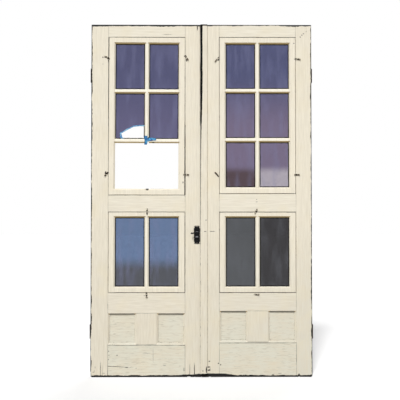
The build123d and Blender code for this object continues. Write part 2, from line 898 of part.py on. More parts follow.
def hinge_pin(side, height):
    """A pin with a round tip at each end."""
    axis_x, axis_y = hinge_axis(side)
    z0 = height - hinge_height / 2 - pilot_clearance
    z1 = height + hinge_height / 2 + pilot_clearance
    pin = rod((axis_x, axis_y, z0), (0, 0, 1), hinge_pin_radius, z1 - z0)
    for z, way in ((z0, -1), (z1, 1)):
        tip = rod((axis_x, axis_y, z), (0, 0, way), hinge_pin_tip_radius, hinge_pin_tip)
        far = tip.edges().sort_by_distance((axis_x, axis_y, z + way * hinge_pin_tip))[:1]
        pin += fillet(far, hinge_pin_tip / 2)
    return pin


def hinge_screws(side):
    """Flat-head screws that hold the door leaves of the hinges to the stile."""
    screws = []
    shank = hinge_hole_radius - running_clearance
    head = hinge_screw_head - running_clearance
    face = side * half_pair
    half_slot = screw_slot_width / 2
    deep = hinge_screw_slot_depth
    for height in hinge_heights():
        for y, z in hinge_holes(height):
            body = rod((face, y, z), (-side, 0, 0), shank, hinge_screw_length)
            body += cone((face, y, z), (-side, 0, 0), head, shank, countersink_depth)
            z0, z1 = z - head - past, z + head + past
            slot = block(face - deep, face + deep, y - half_slot, y + half_slot, z0, z1)
            screws.append(body - slot)
    return screws


# Latch

def hollow_radius(half_chord, sag):
    """Radius of the arc with this half chord and sag."""
    return (half_chord * half_chord + sag * sag) / (2 * sag)


def latch_plate_outline():
    """The plate's outline: hollow ends and four horned corners."""
    w = latch_plate_width / 2
    h = latch_plate_height / 2
    neck = 3 * latch_horn
    end_radius = hollow_radius(w, latch_horn)
    neck_radius = hollow_radius(neck / 2, latch_horn)
    outline = Rectangle(latch_plate_width, latch_plate_height)
    for way in (1, -1):
        outline -= Pos(0, way * (h - latch_horn + end_radius)) * Circle(end_radius)
        for hand in (1, -1):
            outline -= Pos(hand * (w - latch_horn + neck_radius), way * (h - neck / 2)) * Circle(neck_radius)
    return outline


def case_span():
    """Foot and head of the latch case's box."""
    middle = latch_centre_height + case_above_centre
    return middle - case_height / 2, middle + case_height / 2


def bolt_solid(grow=0.0, travel=0.0):
    """The bolt's bar, grown all round and moved along its travel."""
    x0 = latch_x - case_width / 2 + case_wall + slide_clearance - grow + travel
    x1 = latch_x + case_width / 2 - slide_clearance + grow + travel
    y0 = case_face + case_wall + slide_clearance
    z_half = bolt_height / 2 + grow
    return block(x0, x1, y0 - grow, y0 + bolt_thickness + grow, bolt_z - z_half, bolt_z + z_half)


def latch_case():
    """Cast case: the horned plate and the box over the works, open at the back against the stile."""
    plate = extrude(latch_plate_outline(), amount=latch_plate_thickness)
    plate = facing_room(latch_x, front, latch_centre_height) * plate
    x0, x1 = latch_x - case_width / 2, latch_x + case_width / 2
    z0, z1 = case_span()
    box = block(x0, x1, case_face, front, z0, z1)
    rim = box.edges().group_by(Axis.Y)[0]
    case = plate + chamfer(rim, case_easing)
    wall = case_wall
    case -= block(x0 + wall, x1 - wall, case_face + wall, front + past, z0 + wall, z1 - wall)
    bore = spindle_radius + running_clearance
    case -= rod((latch_x, case_face - past, spindle_z), (0, 1, 0), bore, wall + 2 * past)
    case -= bolt_solid(slide_clearance, wall + past)
    for offset in (upper_latch_screw, lower_latch_screw):
        start = (latch_x, front + past, latch_centre_height + offset)
        hole = latch_screw_radius + pilot_clearance
        case -= rod(start, (0, -1, 0), hole, latch_plate_thickness + 2 * past)
    return case


def crank_pin_place():
    """X and Z of the crank pin at rest, with the bolt drawn back."""
    drop = crank_radius * math.cos(latch_half_turn)
    return latch_x - crank_radius * math.sin(latch_half_turn), spindle_z - drop


def latch_bolt():
    """The bolt, with the upright slot that the crank pin works in."""
    x, z = crank_pin_place()
    half = crank_pin_radius + slide_clearance
    foot = spindle_z - crank_radius - half
    return bolt_solid() - block(x - half, x + half, case_face, front, foot, z + half)


def latch_spindle():
    """The spindle through the stile, with the crank that works the bolt."""
    near_end = case_face - lever_seat_depth + spindle_end_play
    far_end = back + knob_bore_depth - spindle_end_play
    spindle = rod((latch_x, near_end, spindle_z), (0, 1, 0), spindle_radius, far_end - near_end)
    bolt_back = case_face + case_wall + slide_clearance + bolt_thickness
    crank_front = bolt_back + slide_clearance
    pin_x, pin_z = crank_pin_place()
    arm_angle = math.degrees(math.atan2(pin_z - spindle_z, pin_x - latch_x))
    arm_width = 2 * (crank_pin_radius + crank_eye_wall)
    arm = extrude(SlotCenterToCenter(crank_radius, arm_width), amount=crank_thickness)
    arm = Pos(crank_radius / 2, 0, 0) * arm
    crank = facing_room(latch_x, crank_front + crank_thickness, spindle_z, arm_angle) * arm
    hub_at = (latch_x, crank_front, spindle_z)
    hub = rod(hub_at, (0, 1, 0), spindle_radius + crank_hub_wall, crank_thickness)
    pin = rod((pin_x, crank_front, pin_z), (0, -1, 0), crank_pin_radius, bolt_thickness)
    return spindle + crank + hub + pin


def latch_lever():
    """The lever on the room side: a bar across the case that ends in a ball."""
    hub_back = case_face - slide_clearance
    ball_y = front - lever_projection + lever_ball_radius
    hub = rod((latch_x, hub_back, spindle_z), (0, -1, 0), hub_radius, hub_length)
    hub = chamfer(hub.edges().group_by(Axis.Y)[0], small_easing)
    half = lever_arm_width / 2
    bend_x = latch_x - case_width / 2 - lever_bend
    bend_z = spindle_z + lever_arm_swell
    ball_x = latch_x - lever_reach
    ball_z = spindle_z - lever_drop
    tail_x = latch_x + lever_tail
    above = [(tail_x, spindle_z + half), (bend_x, bend_z + half), (ball_x, ball_z + half)]
    below = [(ball_x, ball_z - half), (bend_x, bend_z - half), (tail_x, spindle_z - half)]
    arm_back = hub_back - lever_arm_inset
    arm = prism(above + below, arm_back - lever_arm_thickness, arm_back)
    ball = Plane(origin=(ball_x, ball_y, ball_z), z_dir=(0, 1, 0)) * Sphere(lever_ball_radius)
    lever = hub + arm + ball
    bore_at = (latch_x, hub_back + past, spindle_z)
    bore_length = lever_seat_depth - slide_clearance + past
    return lever - rod(bore_at, (0, -1, 0), spindle_radius + pilot_clearance, bore_length)


def latch_rose():
    """Round plate on the outer face that carries the knob's neck."""
    rose = rod((latch_x, back, spindle_z), (0, 1, 0), rose_radius, rose_thickness)
    rose = chamfer(rose.edges().group_by(Axis.Y)[-1], small_easing)
    bores = [(0, knob_neck_radius + running_clearance)]
    for offset in (-rose_screw_spacing / 2, rose_screw_spacing / 2):
        bores.append((offset, latch_screw_radius + pilot_clearance))
    for offset, radius in bores:
        start = (latch_x, back - past, spindle_z + offset)
        rose -= rod(start, (0, 1, 0), radius, rose_thickness + 2 * past)
    return rose


def latch_knob():
    """Turned knob on the outer face."""
    top = lever_projection
    neck = knob_neck_radius
    foot = slide_clearance
    swell_foot = (0.75 * knob_radius, 0.5 * top)
    swell_head = (0.62 * knob_radius, top)
    stem = Polyline((0, foot), (neck, foot), (neck, 0.42 * top), swell_foot)
    swell = ThreePointArc(swell_foot, (knob_radius, 0.7 * top), swell_head)
    crown = Polyline(swell_head, (0, top), (0, foot))
    turned = revolve(make_face(Curve() + [stem, swell, crown]), axis=Axis.Y)
    turned -= rod((0, -past, 0), (0, 1, 0), spindle_radius + pilot_clearance, knob_bore_depth + past)
    return Pos(latch_x, back, spindle_z) * turned


def latch_screws():
    """Round-head screws of the latch plate, then of the rose."""
    places = []
    for offset in (upper_latch_screw, lower_latch_screw):
        z = latch_centre_height + offset
        places.append((front, -latch_plate_thickness, z, latch_screw_length))
    for offset in (-rose_screw_spacing / 2, rose_screw_spacing / 2):
        places.append((back, rose_thickness, spindle_z + offset, latch_screw_length / 2))
    screws = []
    for face, plate, z, length in places:
        out = 1 if plate > 0 else -1
        y = face + plate
        shank = rod((latch_x, y, z), (0, -out, 0), latch_screw_radius, abs(plate) + length - past)
        head = rod((latch_x, y, z), (0, out, 0), latch_screw_head, screw_head_height)
        top = y + out * screw_head_height
        far = head.edges().sort_by_distance((latch_x, top, z))[:1]
        reach = 2 * latch_screw_head
        half_slot = screw_slot_width / 2
        slot_foot = top - out * screw_slot_depth
        slot_head = top + out * past
        slot = block(latch_x - reach, latch_x + reach, slot_foot, slot_head, z - half_slot, z + half_slot)
        screws.append(shank + fillet(far, small_easing) - slot)
    return screws


def astragal():
    """Flat strip on the right meeting stile that laps the left leaf."""
    x0 = -meeting_gap / 2 - astragal_lap
    strip = block(x0, x0 + astragal_width, front - astragal_thickness, front, astragal_foot, leaf_height)
    rim = strip.edges().filter_by(Axis.Z).group_by(Axis.Y)[0]
    strip = chamfer(rim, 1.5 * arris)
    relief = front - astragal_relief
    return strip - block(x0 - past, meeting_gap / 2, relief, front + past, 0, leaf_height + past)


# Every node by name

def leaning(side, upper, pieces):
    """Pieces of a sash as they sit in the opening: the left upper sash leans over in its clearance."""
    if not (side == LEFT and upper):
        return pieces
    plan = SashPlan(side, upper)
    x, z = (plan.x0 + plan.x1) / 2, (plan.z0 + plan.z1) / 2
    lean = Pos(x, 0, z) * Rot(0, left_upper_sash_lean, 0) * Pos(-x, 0, -z)
    return [lean * piece for piece in pieces]


def nodes():
    made = {}
    for side, label in ((LEFT, "left"), (RIGHT, "right")):
        made[label + "_hinge_stile"] = [stile(side, True)]
        made[label + "_meeting_stile"] = [stile(side, False)]
        for name in rails(side):
            made[label + "_" + name] = [rail(side, name)]
        made[label + "_panel_muntin"] = [panel_muntin(side)]
        made[label + "_panels"] = panels(side)
        putty = []
        for upper, level in ((True, "upper"), (False, "lower")):
            plan = SashPlan(side, upper)
            sash = label + "_" + level
            made[sash + "_sash"] = leaning(side, upper, sash_frame(side, upper))
            made[sash + "_bars"] = leaning(side, upper, sash_bars(side, upper))
            whole = plan.lights()
            glazed = whole
            if side == LEFT and upper:
                glazed = [light for light in whole if light not in EMPTY_LIGHTS]
                whole = [light for light in glazed if light != BROKEN_LIGHT]
            made[sash + "_glass"] = leaning(side, upper, [pane(plan, *light) for light in whole])
            putty += leaning(side, upper, [putty_ring(plan, *light) for light in glazed])
        made[label + "_putty"] = putty
        screws = []
        for index, (name, x, z, angle) in enumerate(button_pivots(side)):
            made[label + "_turn_button_" + name] = [turn_button(x, z, angle)]
            screws.append(button_screw(x, z, first_slot_angle + slot_angle_step * index))
        made[label + "_screws"] = screws + hinge_screws(side)
        leaves = [hinge_leaf(side, height, False) for height in hinge_heights()]
        made[label + "_door_hinge_leaves"] = leaves
    both = [(side, height) for side in (LEFT, RIGHT) for height in hinge_heights()]
    made["jamb_hinge_leaves"] = [hinge_leaf(side, height, True) for side, height in both]
    made["hinge_pins"] = [hinge_pin(side, height) for side, height in both]
    made["left_broken_pane"] = leaning(LEFT, True, [broken_pane()])
    made["pane_tape"] = leaning(LEFT, True, [pane_tape()])
    made["junction_tape"] = leaning(LEFT, True, [junction_tape()])
    made["astragal"] = [astragal()]
    made["latch_case"] = [latch_case()]
    made["latch_bolt"] = [latch_bolt()]
    made["latch_spindle"] = [latch_spindle()]
    made["latch_lever"] = [latch_lever()]
    made["latch_rose"] = [latch_rose()]
    made["latch_knob"] = [latch_knob()]
    made["latch_screws"] = latch_screws()
    return made


os.makedirs("parts", exist_ok=True)
for node, pieces in nodes().items():
    solids = [solid for piece in pieces for solid in piece.solids()]
    shape = solids[0] if len(solids) == 1 else Compound(children=solids)
    export_step(shape, "parts/" + node + ".step")
print("bolt throw", round(bolt_throw, 3), "mm")
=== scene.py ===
import math

import bpy
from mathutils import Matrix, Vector, noise


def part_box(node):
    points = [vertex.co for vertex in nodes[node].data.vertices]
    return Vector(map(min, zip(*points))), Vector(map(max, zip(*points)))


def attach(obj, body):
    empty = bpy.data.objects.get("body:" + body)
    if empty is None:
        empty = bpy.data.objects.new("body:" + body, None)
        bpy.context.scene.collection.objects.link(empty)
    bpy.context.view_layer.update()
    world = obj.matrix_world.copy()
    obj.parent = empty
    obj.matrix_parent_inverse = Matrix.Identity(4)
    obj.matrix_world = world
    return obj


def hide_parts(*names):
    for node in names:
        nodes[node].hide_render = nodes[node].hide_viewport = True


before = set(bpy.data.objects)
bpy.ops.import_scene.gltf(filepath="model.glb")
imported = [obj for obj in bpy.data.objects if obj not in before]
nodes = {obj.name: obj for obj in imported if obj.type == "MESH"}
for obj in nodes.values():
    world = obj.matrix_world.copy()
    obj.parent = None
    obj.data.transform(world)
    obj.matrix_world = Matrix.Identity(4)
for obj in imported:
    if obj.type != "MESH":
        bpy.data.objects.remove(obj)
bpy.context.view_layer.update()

# Pair of cream-painted storm doors. X runs across, Y from the room side outwards, Z up, metres.
MM = 0.001
SIDES = ("left_", "right_")

# Edges of the leaves and of the astragal, the strip that laps the left leaf
leaf_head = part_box("left_meeting_stile")[1].z
room_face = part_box("left_meeting_stile")[0].y
leaf_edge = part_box("right_hinge_stile")[1].x
astragal_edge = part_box("astragal")[0].x
astragal_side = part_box("astragal")[1].x
astragal_middle = (astragal_edge + astragal_side) / 2

# The latch
case_low, case_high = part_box("latch_case")
case_middle = (case_low.x + case_high.x) / 2
lever_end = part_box("latch_lever")[0].x
lever_height = (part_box("latch_spindle")[0].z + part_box("latch_spindle")[1].z) / 2

# The sashes. The left upper one leans in its opening
left_sash_low, left_sash_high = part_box("left_lower_sash")
right_sash_low, right_sash_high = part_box("right_lower_sash")
sash_width = left_sash_high.x - left_sash_low.x
right_middle = (right_sash_low.x + right_sash_high.x) / 2
leaning_low, leaning_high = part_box("left_upper_sash")
leaning_middle = (leaning_low + leaning_high) / 2
left_sash_lean = math.radians(0.2)

# Sizes of the source that no box gives. Rails are given as foot and head
sash_clearance = 2.5 * MM
sash_stile = 40 * MM
upper_sash_rails = (40 * MM, 40 * MM)
lower_sash_rails = (37 * MM, 33 * MM)
panel_feet = {"left_": 206 * MM, "right_": 221 * MM}
panel_height = 197 * MM
panel_width = 181.5 * MM
bar_width = 27 * MM
bevel = 8 * MM
glass_front = -7.5 * MM
glass_back = -4.5 * MM


def sash_heights(side, upper):
    """Foot and head of a sash as it was made, before the left upper one leaned over."""
    low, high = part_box(side + ("upper_sash" if upper else "lower_sash"))
    leans = side == "left_" and upper
    rise = (high.x - low.x) / 2 * math.sin(left_sash_lean) if leans else 0.0
    return low.z + rise, high.z - rise


# Colour and node helpers

def paint_colour(text):
    """An sRGB hex colour as the linear one that Blender's sockets take."""
    shares = [int(text[place:place + 2], 16) / 255 for place in (0, 2, 4)]
    linear = [v / 12.92 if v <= 0.04045 else ((v + 0.055) / 1.055) ** 2.4 for v in shares]
    return (linear[0], linear[1], linear[2], 1.0)


def add(tree, kind, inputs=None, **settings):
    """Adds a node with its settings; inputs hold plain values or the sockets that feed it."""
    node = tree.nodes.new("ShaderNode" + kind)
    for name, value in settings.items():
        setattr(node, name, value)
    for socket, value in (inputs or {}).items():
        if isinstance(value, bpy.types.NodeSocket):
            tree.links.new(value, node.inputs[socket])
        else:
            node.inputs[socket].default_value = value
    return node


def object_place(tree):
    """Where a point lies in the part's own frame."""
    return add(tree, "TexCoord").outputs["Object"]


def parts_of(tree, point):
    """The X, Y and Z of a point or a normal."""
    return add(tree, "SeparateXYZ", {"Vector": point}).outputs


def calc(tree, operation, *values):
    """What a Math node works out from values or sockets."""
    return add(tree, "Math", dict(enumerate(values)), operation=operation).outputs[0]


def vector(tree, operation, *values, out="Vector"):
    """What a Vector Math node works out."""
    return add(tree, "VectorMath", dict(enumerate(values)), operation=operation).outputs[out]


def ramp(tree, value, start, end, low=0.0, high=1.0, smooth=False):
    """Low at the start and high at the end, and held beyond them."""
    reach = {"Value": value, 1: start, 2: end, 3: low, 4: high}
    kind = "SMOOTHSTEP" if smooth else "LINEAR"
    return add(tree, "MapRange", reach, interpolation_type=kind).outputs[0]


def mix(tree, share, under, over):
    """One colour laid over another; the share says how much of it shows."""
    under, over = (paint_colour(c) if isinstance(c, str) else c for c in (under, over))
    return add(tree, "Mix", {0: share, 6: under, 7: over}, data_type="RGBA").outputs[2]


def soft_noise(tree, place, scale, detail, roughness=0.5):
    """Uneven noise about 0.5; its patches are 1 / scale metres wide."""
    inputs = {"Vector": place, "Scale": scale, "Detail": detail, "Roughness": roughness}
    return add(tree, "TexNoise", inputs).outputs[0]


def relief(tree, strength, depth, height, normal=None):
    """The normal of a surface that rises and falls, on top of a softened normal where one is given."""
    inputs = {"Strength": strength, "Distance": depth, "Height": height}
    if normal is not None:
        inputs["Normal"] = normal
    return add(tree, "Bump", inputs).outputs[0]


def surface(tree, inputs):
    """The shader of a finish, joined to the material's output."""
    shader = add(tree, "BsdfPrincipled", inputs)
    add(tree, "OutputMaterial", {"Surface": shader.outputs[0]})


def new_finish(name):
    """An empty material and its node tree."""
    material = bpy.data.materials.new(name)
    material.use_nodes = True
    tree = material.node_tree
    tree.nodes.clear()
    return material, tree


def finish_with(material, names):
    """Gives one finish to CAD nodes."""
    for name in names:
        nodes[name].data.materials.clear()
        nodes[name].data.materials.append(material)


# Masks that every painted piece of the leaves shares

def new_mask(name):
    """An empty node group that will give a mask."""
    group = bpy.data.node_groups.new(name, "ShaderNodeTree")
    group.interface.new_socket("Mask", in_out="OUTPUT", socket_type="NodeSocketFloat")
    return group


def close_mask(group, mask):
    """Joins the mask to the group's output."""
    out = group.nodes.new("NodeGroupOutput")
    group.links.new(mask, out.inputs["Mask"])
    return group


def mask_from(tree, group):
    """The mask of a shared group, for use in a material."""
    node = tree.nodes.new("ShaderNodeGroup")
    node.node_tree = group
    return node.outputs[0]


def greatest(tree, values):
    """The greatest of several masks."""
    total = values[0]
    for value in values[1:]:
        total = calc(tree, "MAXIMUM", total, value)
    return total


def knocks_mask():
    """Nail holes, scrapes and old screw holes, with a few marks of painted shade, as a mask: each is a
    small ellipse on the room face.
    """
    sash_gap = (left_sash_high.x + sash_clearance / 2) / MM
    # middle x and z, half width, half height, all in millimetres, and how dark
    knocks_and_shade_marks = [
        # round the turn buttons and along the heads
        (-632.6, 2039, 4, 4, 1), (-631.3, 1996, 3, 3, 0.5), (-619, 2041, 4, 5, 1), (-600, 2030, 5, 3, 1),
        (-595, 2015, 3, 6, 1), (-108, 2047, 4, 4, 1), (-96, 2024, 4, 12, 1), (-612, 1296, 5, 12, 1),
        (-90, 1286, 9, 3, 1), (-113, 1288, 3, 3, 1), (110, 2030, 6, 12, 1), (613, 2030, 18, 4, 1),
        (594, 2131, 3, 3, 1), (-220, 2187, 32, 1.5, 0.6), (-26, 2228, 3, 14, 1),
        (-118, 1236, 3, 7, 0.8), (-108, 1460, 2, 5, 0.8),
        # across the right leaf's head corner
        (635, 2172, 4, 4, 0.7), (646, 2184, 4, 4, 0.7), (656, 2194, 4, 4, 0.6), (674, 2208, 4, 4, 0.3),
        # dirt above and below the latch case where fingers reach; behind the lever, dirt and its painted
        # shadow
        *((case_middle / MM, edge / MM, 16, 3, 0.9) for edge in (case_low.z, case_high.z)),
        ((lever_end + case_low.x) / 2 / MM, lever_height / MM + 1, 11, 5, 0.9),
        # the left upper sash leans away from the meeting stile at its foot: painted shade in the open gap
        (sash_gap, 1270, 3, 105, 0.9),
        # socket of the lost upright bar, and its torn tenon under the level bar
        (-346, 1197, 10, 11, 1), (-309, 1490, 7, 5, 1),
        # rails of the left leaf
        (-351, 1050, 4, 3, 1), (-347, 1031, 3, 4, 1), (-364, 515, 4, 3, 0.6), (-345, 501, 4, 3, 1),
        (-345, 517, 3, 3, 0.6), (-536, 138, 4, 3, 0.8), (-348, 151, 25, 1.6, 0.45),
        (-307, 135, 1.4, 46, 0.45), (-235, 74, 10, 2, 0.6), (-415, 56, 4, 2, 0.5), (-476, 61, 9, 3, 0.7),
        (-590, 163, 3, 4, 0.6), (-588, 138, 4, 3, 0.6), (-591, 112, 3, 4, 0.6), (-112, 48, 4, 12, 0.4),
        # foot of the left leaf's stiles
        (-641, 50, 1.8, 46, 0.8), (-675, 61, 2, 9, 0.4), (-620, 25, 6, 4, 0.4), (-685, 31, 8, 2, 0.5),
        (-680, 40, 2, 8, 0.5), (-45, 42, 2.0, 44, 1), (-74, 46, 1.6, 40, 0.6), (-80, 8, 7, 9, 1),
        # keeper's old place on the right leaf
        (24, 924, 8, 2.5, 0.8), (70, 924, 16, 2, 0.8), (29, 996, 3, 3, 0.8),
        # rails and foot of the right leaf
        (353, 1127, 4, 2, 0.7), (353, 1112, 6, 2, 0.7), (344, 520, 5, 3, 1), (360, 523, 4, 2, 0.7),
        (31, 48, 3.6, 21, 1), (46, 63, 10, 4, 1), (48, 43, 9, 4, 1), (50, 99, 5, 4, 0.9),
        (108, 86, 4, 4, 1), (122, 78, 4, 4, 1), (455, 14, 8, 3, 0.8), (498, 22, 12, 2.2, 0.7),
        (9, 41, 3, 5, 0.6), (14, 9, 14, 5, 1), (60, 9, 16, 6, 1), (620, 12, 6, 9, 1), (698, 9, 8, 6, 1),
    ]
    group = new_mask("nail_holes_scrapes_and_painted_shade")
    place = object_place(group)
    # the wobble moves every point by about half its reach, so the middles move as far
    reach = 6 * MM
    wobble = add(group, "TexNoise", {"Vector": place, "Scale": 220.0, "Detail": 2.0}).outputs["Color"]
    ragged = vector(group, "MULTIPLY_ADD", wobble, (reach, 0, reach), place)
    marks = []
    for x, z, half_width, half_height, darkness in knocks_and_shade_marks:
        middle = (x * MM + reach / 2, 0, z * MM + reach / 2)
        scale = (1 / (half_width * MM), 0, 1 / (half_height * MM))
        shape = vector(group, "MULTIPLY", vector(group, "SUBTRACT", ragged, middle), scale)
        # 1 on the edge of the ellipse, where the mark fades
        size = vector(group, "LENGTH", shape, out="Value")
        marks.append(ramp(group, size, 1.25, 0.75, high=darkness))
    # the outer faces lie at Y over 0
    room_side = calc(group, "LESS_THAN", parts_of(group, place)["Y"], 0.0)
    return close_mask(group, calc(group, "MULTIPLY", greatest(group, marks), room_side))


def joint_lines(side):
    """The joint lines of a leaf: the axis that gives their place, the place, where they start and end, and
    how dark they are. Over 1 is a gap that no paint bridges, drawn dark as painted shade inside it."""
    low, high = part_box(side + "lower_sash")
    first, last = low.x - sash_clearance, high.x + sash_clearance
    panel_foot = panel_feet[side]
    panel_head = panel_foot + panel_height
    lower_foot, lower_head = sash_heights(side, False)
    upper_foot, upper_head = sash_heights(side, True)
    # how dark: left and right of the bottom rail, which gapes more on the hinge side
    foot_joints = {"left_": (0.75, 0.45), "right_": (0.45, 0.75)}[side]
    # left and right of each sash, where paint has bridged and torn over the gaps
    beside_lower = {"left_": (0.0, 1.1), "right_": (0.0, 0.0)}[side]
    beside_upper = {"left_": (0.3, 0.6), "right_": (0.0, 0.0)}[side]
    # foot and head of the lower sash, foot and head of the upper one
    across = {"left_": (1.2, 0.0, 0.55, 0.0), "right_": (1.9, 0.75, 0.55, 0.0)}[side]
    # how far the open parts of the gaps reach up or down, in metres
    lean_gap, left_head_gap, right_head_gap = 0.45, 0.52, 0.14
    shadow_foot = 1.6
    lines = []
    for edge, at_foot, at_lower, at_upper in zip((first, last), foot_joints, beside_lower, beside_upper):
        lines.append(("X", edge, 0.0, panel_foot, at_foot))
        lines.append(("X", edge, panel_head, lower_foot, 0.4))
        lines.append(("X", edge, lower_foot, lower_head, at_lower))
        lines.append(("X", edge, lower_head, upper_foot, 0.3))
        lines.append(("X", edge, upper_foot, upper_head, at_upper))
        lines.append(("X", edge, upper_head, leaf_head, 0.35))
    for height in (panel_foot, panel_head):
        lines.append(("Z", height, first + panel_width, last - panel_width, 0.6))
    for height, strength in zip((lower_foot, lower_head, upper_foot, upper_head), across):
        lines.append(("Z", height, first, last, strength))
    # the ledge under the panels has a crack along it
    lines.append(("Z", panel_foot - 6 * MM, first, last, 0.95))
    if side == "left_":
        # the upper sash leans away from the meeting stile at its foot: painted shade in the open gap
        for edge in (last + 0.8 * MM, last - 2 * MM):
            lines.append(("X", edge, upper_foot, upper_foot + lean_gap, 1.9))
        # and from the hinge stile at its head: painted shade in that gap too
        lines.append(("X", first, upper_head - left_head_gap, upper_head, 0.85))
        # the shadow between the leaves falls on the meeting stile too
        lines.append(("X", astragal_edge - 2 * MM, shadow_foot, leaf_head, 1.0))
    else:
        # painted shade in the open gap at the head of the right upper sash
        lines.append(("X", first, upper_head - right_head_gap, upper_head, 0.8))
    return [line for line in lines if line[-1] > 0]


def joint_mask():
    """Hairline joint lines between stiles, rails and muntins, painted shade in open gaps and the painted
    shadow between the leaves, as a mask. Joint lines are 0.5 mm wide, drawn 3 mm wide and part dark to
    show."""
    group = new_mask("hairline_joints_and_painted_gap_shade")
    place = object_place(group)
    xyz = parts_of(group, place)
    marks = []
    for axis, where, start, end, strength in joint_lines("left_") + joint_lines("right_"):
        along = "Z" if axis == "X" else "X"
        off = calc(group, "ABSOLUTE", calc(group, "SUBTRACT", xyz[axis], where))
        line = ramp(group, off, 2.4 * MM, 1.0 * MM, high=strength)
        within = calc(group, "COMPARE", xyz[along], (start + end) / 2, (end - start) / 2)
        marks.append(calc(group, "MULTIPLY", line, within))
    broken = ramp(group, soft_noise(group, place, 16.0, 4.0), 0.35, 0.62, low=0.35)
    return close_mask(group, calc(group, "MULTIPLY", greatest(group, marks), broken))


def bridged_mask():
    """The gaps round the sashes that thick paint bridges, as a mask of how much grime and painted shade it
    keeps out.
    """
    half_gap = sash_clearance / 2
    reach = 4 * MM
    darkening_kept_out = 0.85
    # left, right, foot and head of each
    gaps = []
    for side in SIDES:
        low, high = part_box(side + "lower_sash")
        first, last = low.x - half_gap, high.x + half_gap
        lower_foot, lower_head = sash_heights(side, False)
        upper_foot, upper_head = sash_heights(side, True)
        gaps.append((first, first, lower_foot, lower_head))
        gaps.append((first, last, upper_head + half_gap, upper_head + half_gap))
        if side == "left_":
            gaps.append((first, last, lower_head + half_gap, lower_head + half_gap))
        else:
            gaps.append((last, last, lower_foot, lower_head))
            gaps.append((first, first, upper_foot, upper_head))
            gaps.append((last, last, upper_foot, upper_head))
    group = new_mask("gaps_bridged_by_paint")
    xyz = parts_of(group, object_place(group))
    marks = []
    for x0, x1, z0, z1 in gaps:
        within_x = calc(group, "COMPARE", xyz["X"], (x0 + x1) / 2, (x1 - x0) / 2 + reach)
        within_z = calc(group, "COMPARE", xyz["Z"], (z0 + z1) / 2, (z1 - z0) / 2 + reach)
        marks.append(calc(group, "MULTIPLY", within_x, within_z))
    return close_mask(group, calc(group, "MULTIPLY", greatest(group, marks), darkening_kept_out))


def outline_mask():
    """The outer edges of the leaves as a ragged near-black mask: paint worn off the arris, and painted
    shadow along the edges and under the foot. The worn strip is 1 to 3 mm wide; it is drawn 3 to 10 mm
    wide at the sides, up to 15 mm at the head, and 9 to 26 mm along the foot, which is rotten and in
    shadow."""
    stiles_middle = 40 * MM
    group = new_mask("worn_and_shaded_outer_edges")
    place = object_place(group)
    xyz = parts_of(group, place)
    side = calc(group, "SUBTRACT", leaf_edge, calc(group, "ABSOLUTE", xyz["X"]))
    # the left leaf's head is worn from end to end, the right one's only at its outer end
    left_head = ramp(group, xyz["X"], 0.0, 0.02, 4.5 * MM, 0.5 * MM)
    right_head = ramp(group, xyz["X"], 0.5, 0.56, 0.0, 3.5 * MM)
    from_head = calc(group, "SUBTRACT", leaf_head, xyz["Z"])
    head = calc(group, "SUBTRACT", from_head, calc(group, "MAXIMUM", left_head, right_head))
    # the foot is rotten, and drawn dark as painted shadow under it, deepest under the meeting stiles
    off_stiles = calc(group, "ABSOLUTE", calc(group, "SUBTRACT", xyz["X"], stiles_middle))
    rot_and_shadow = ramp(group, off_stiles, 0.05, 0.22, 16 * MM, 6 * MM)
    foot = calc(group, "SUBTRACT", xyz["Z"], rot_and_shadow)
    nearest = calc(group, "MINIMUM", side, calc(group, "MINIMUM", head, foot))
    rough = soft_noise(group, place, 11.0, 7.0, 0.75)
    width = ramp(group, rough, 0.36, 0.64, 2.5 * MM, 10 * MM)
    worn = ramp(group, calc(group, "SUBTRACT", width, nearest), 0.0, 1.0 * MM)
    # the leaf's own normal, so that the wear stays on its faces when it swings
    facing = parts_of(group, add(group, "TexCoord").outputs["Normal"])["Y"]
    on_face = calc(group, "GREATER_THAN", calc(group, "ABSOLUTE", facing), 0.6)
    return close_mask(group, calc(group, "MULTIPLY", worn, on_face))


knocks_and_shade_marks = knocks_mask()
joints_and_gap_shade = joint_mask()
worn_and_shaded_outline = outline_mask()
bridged_gaps = bridged_mask()


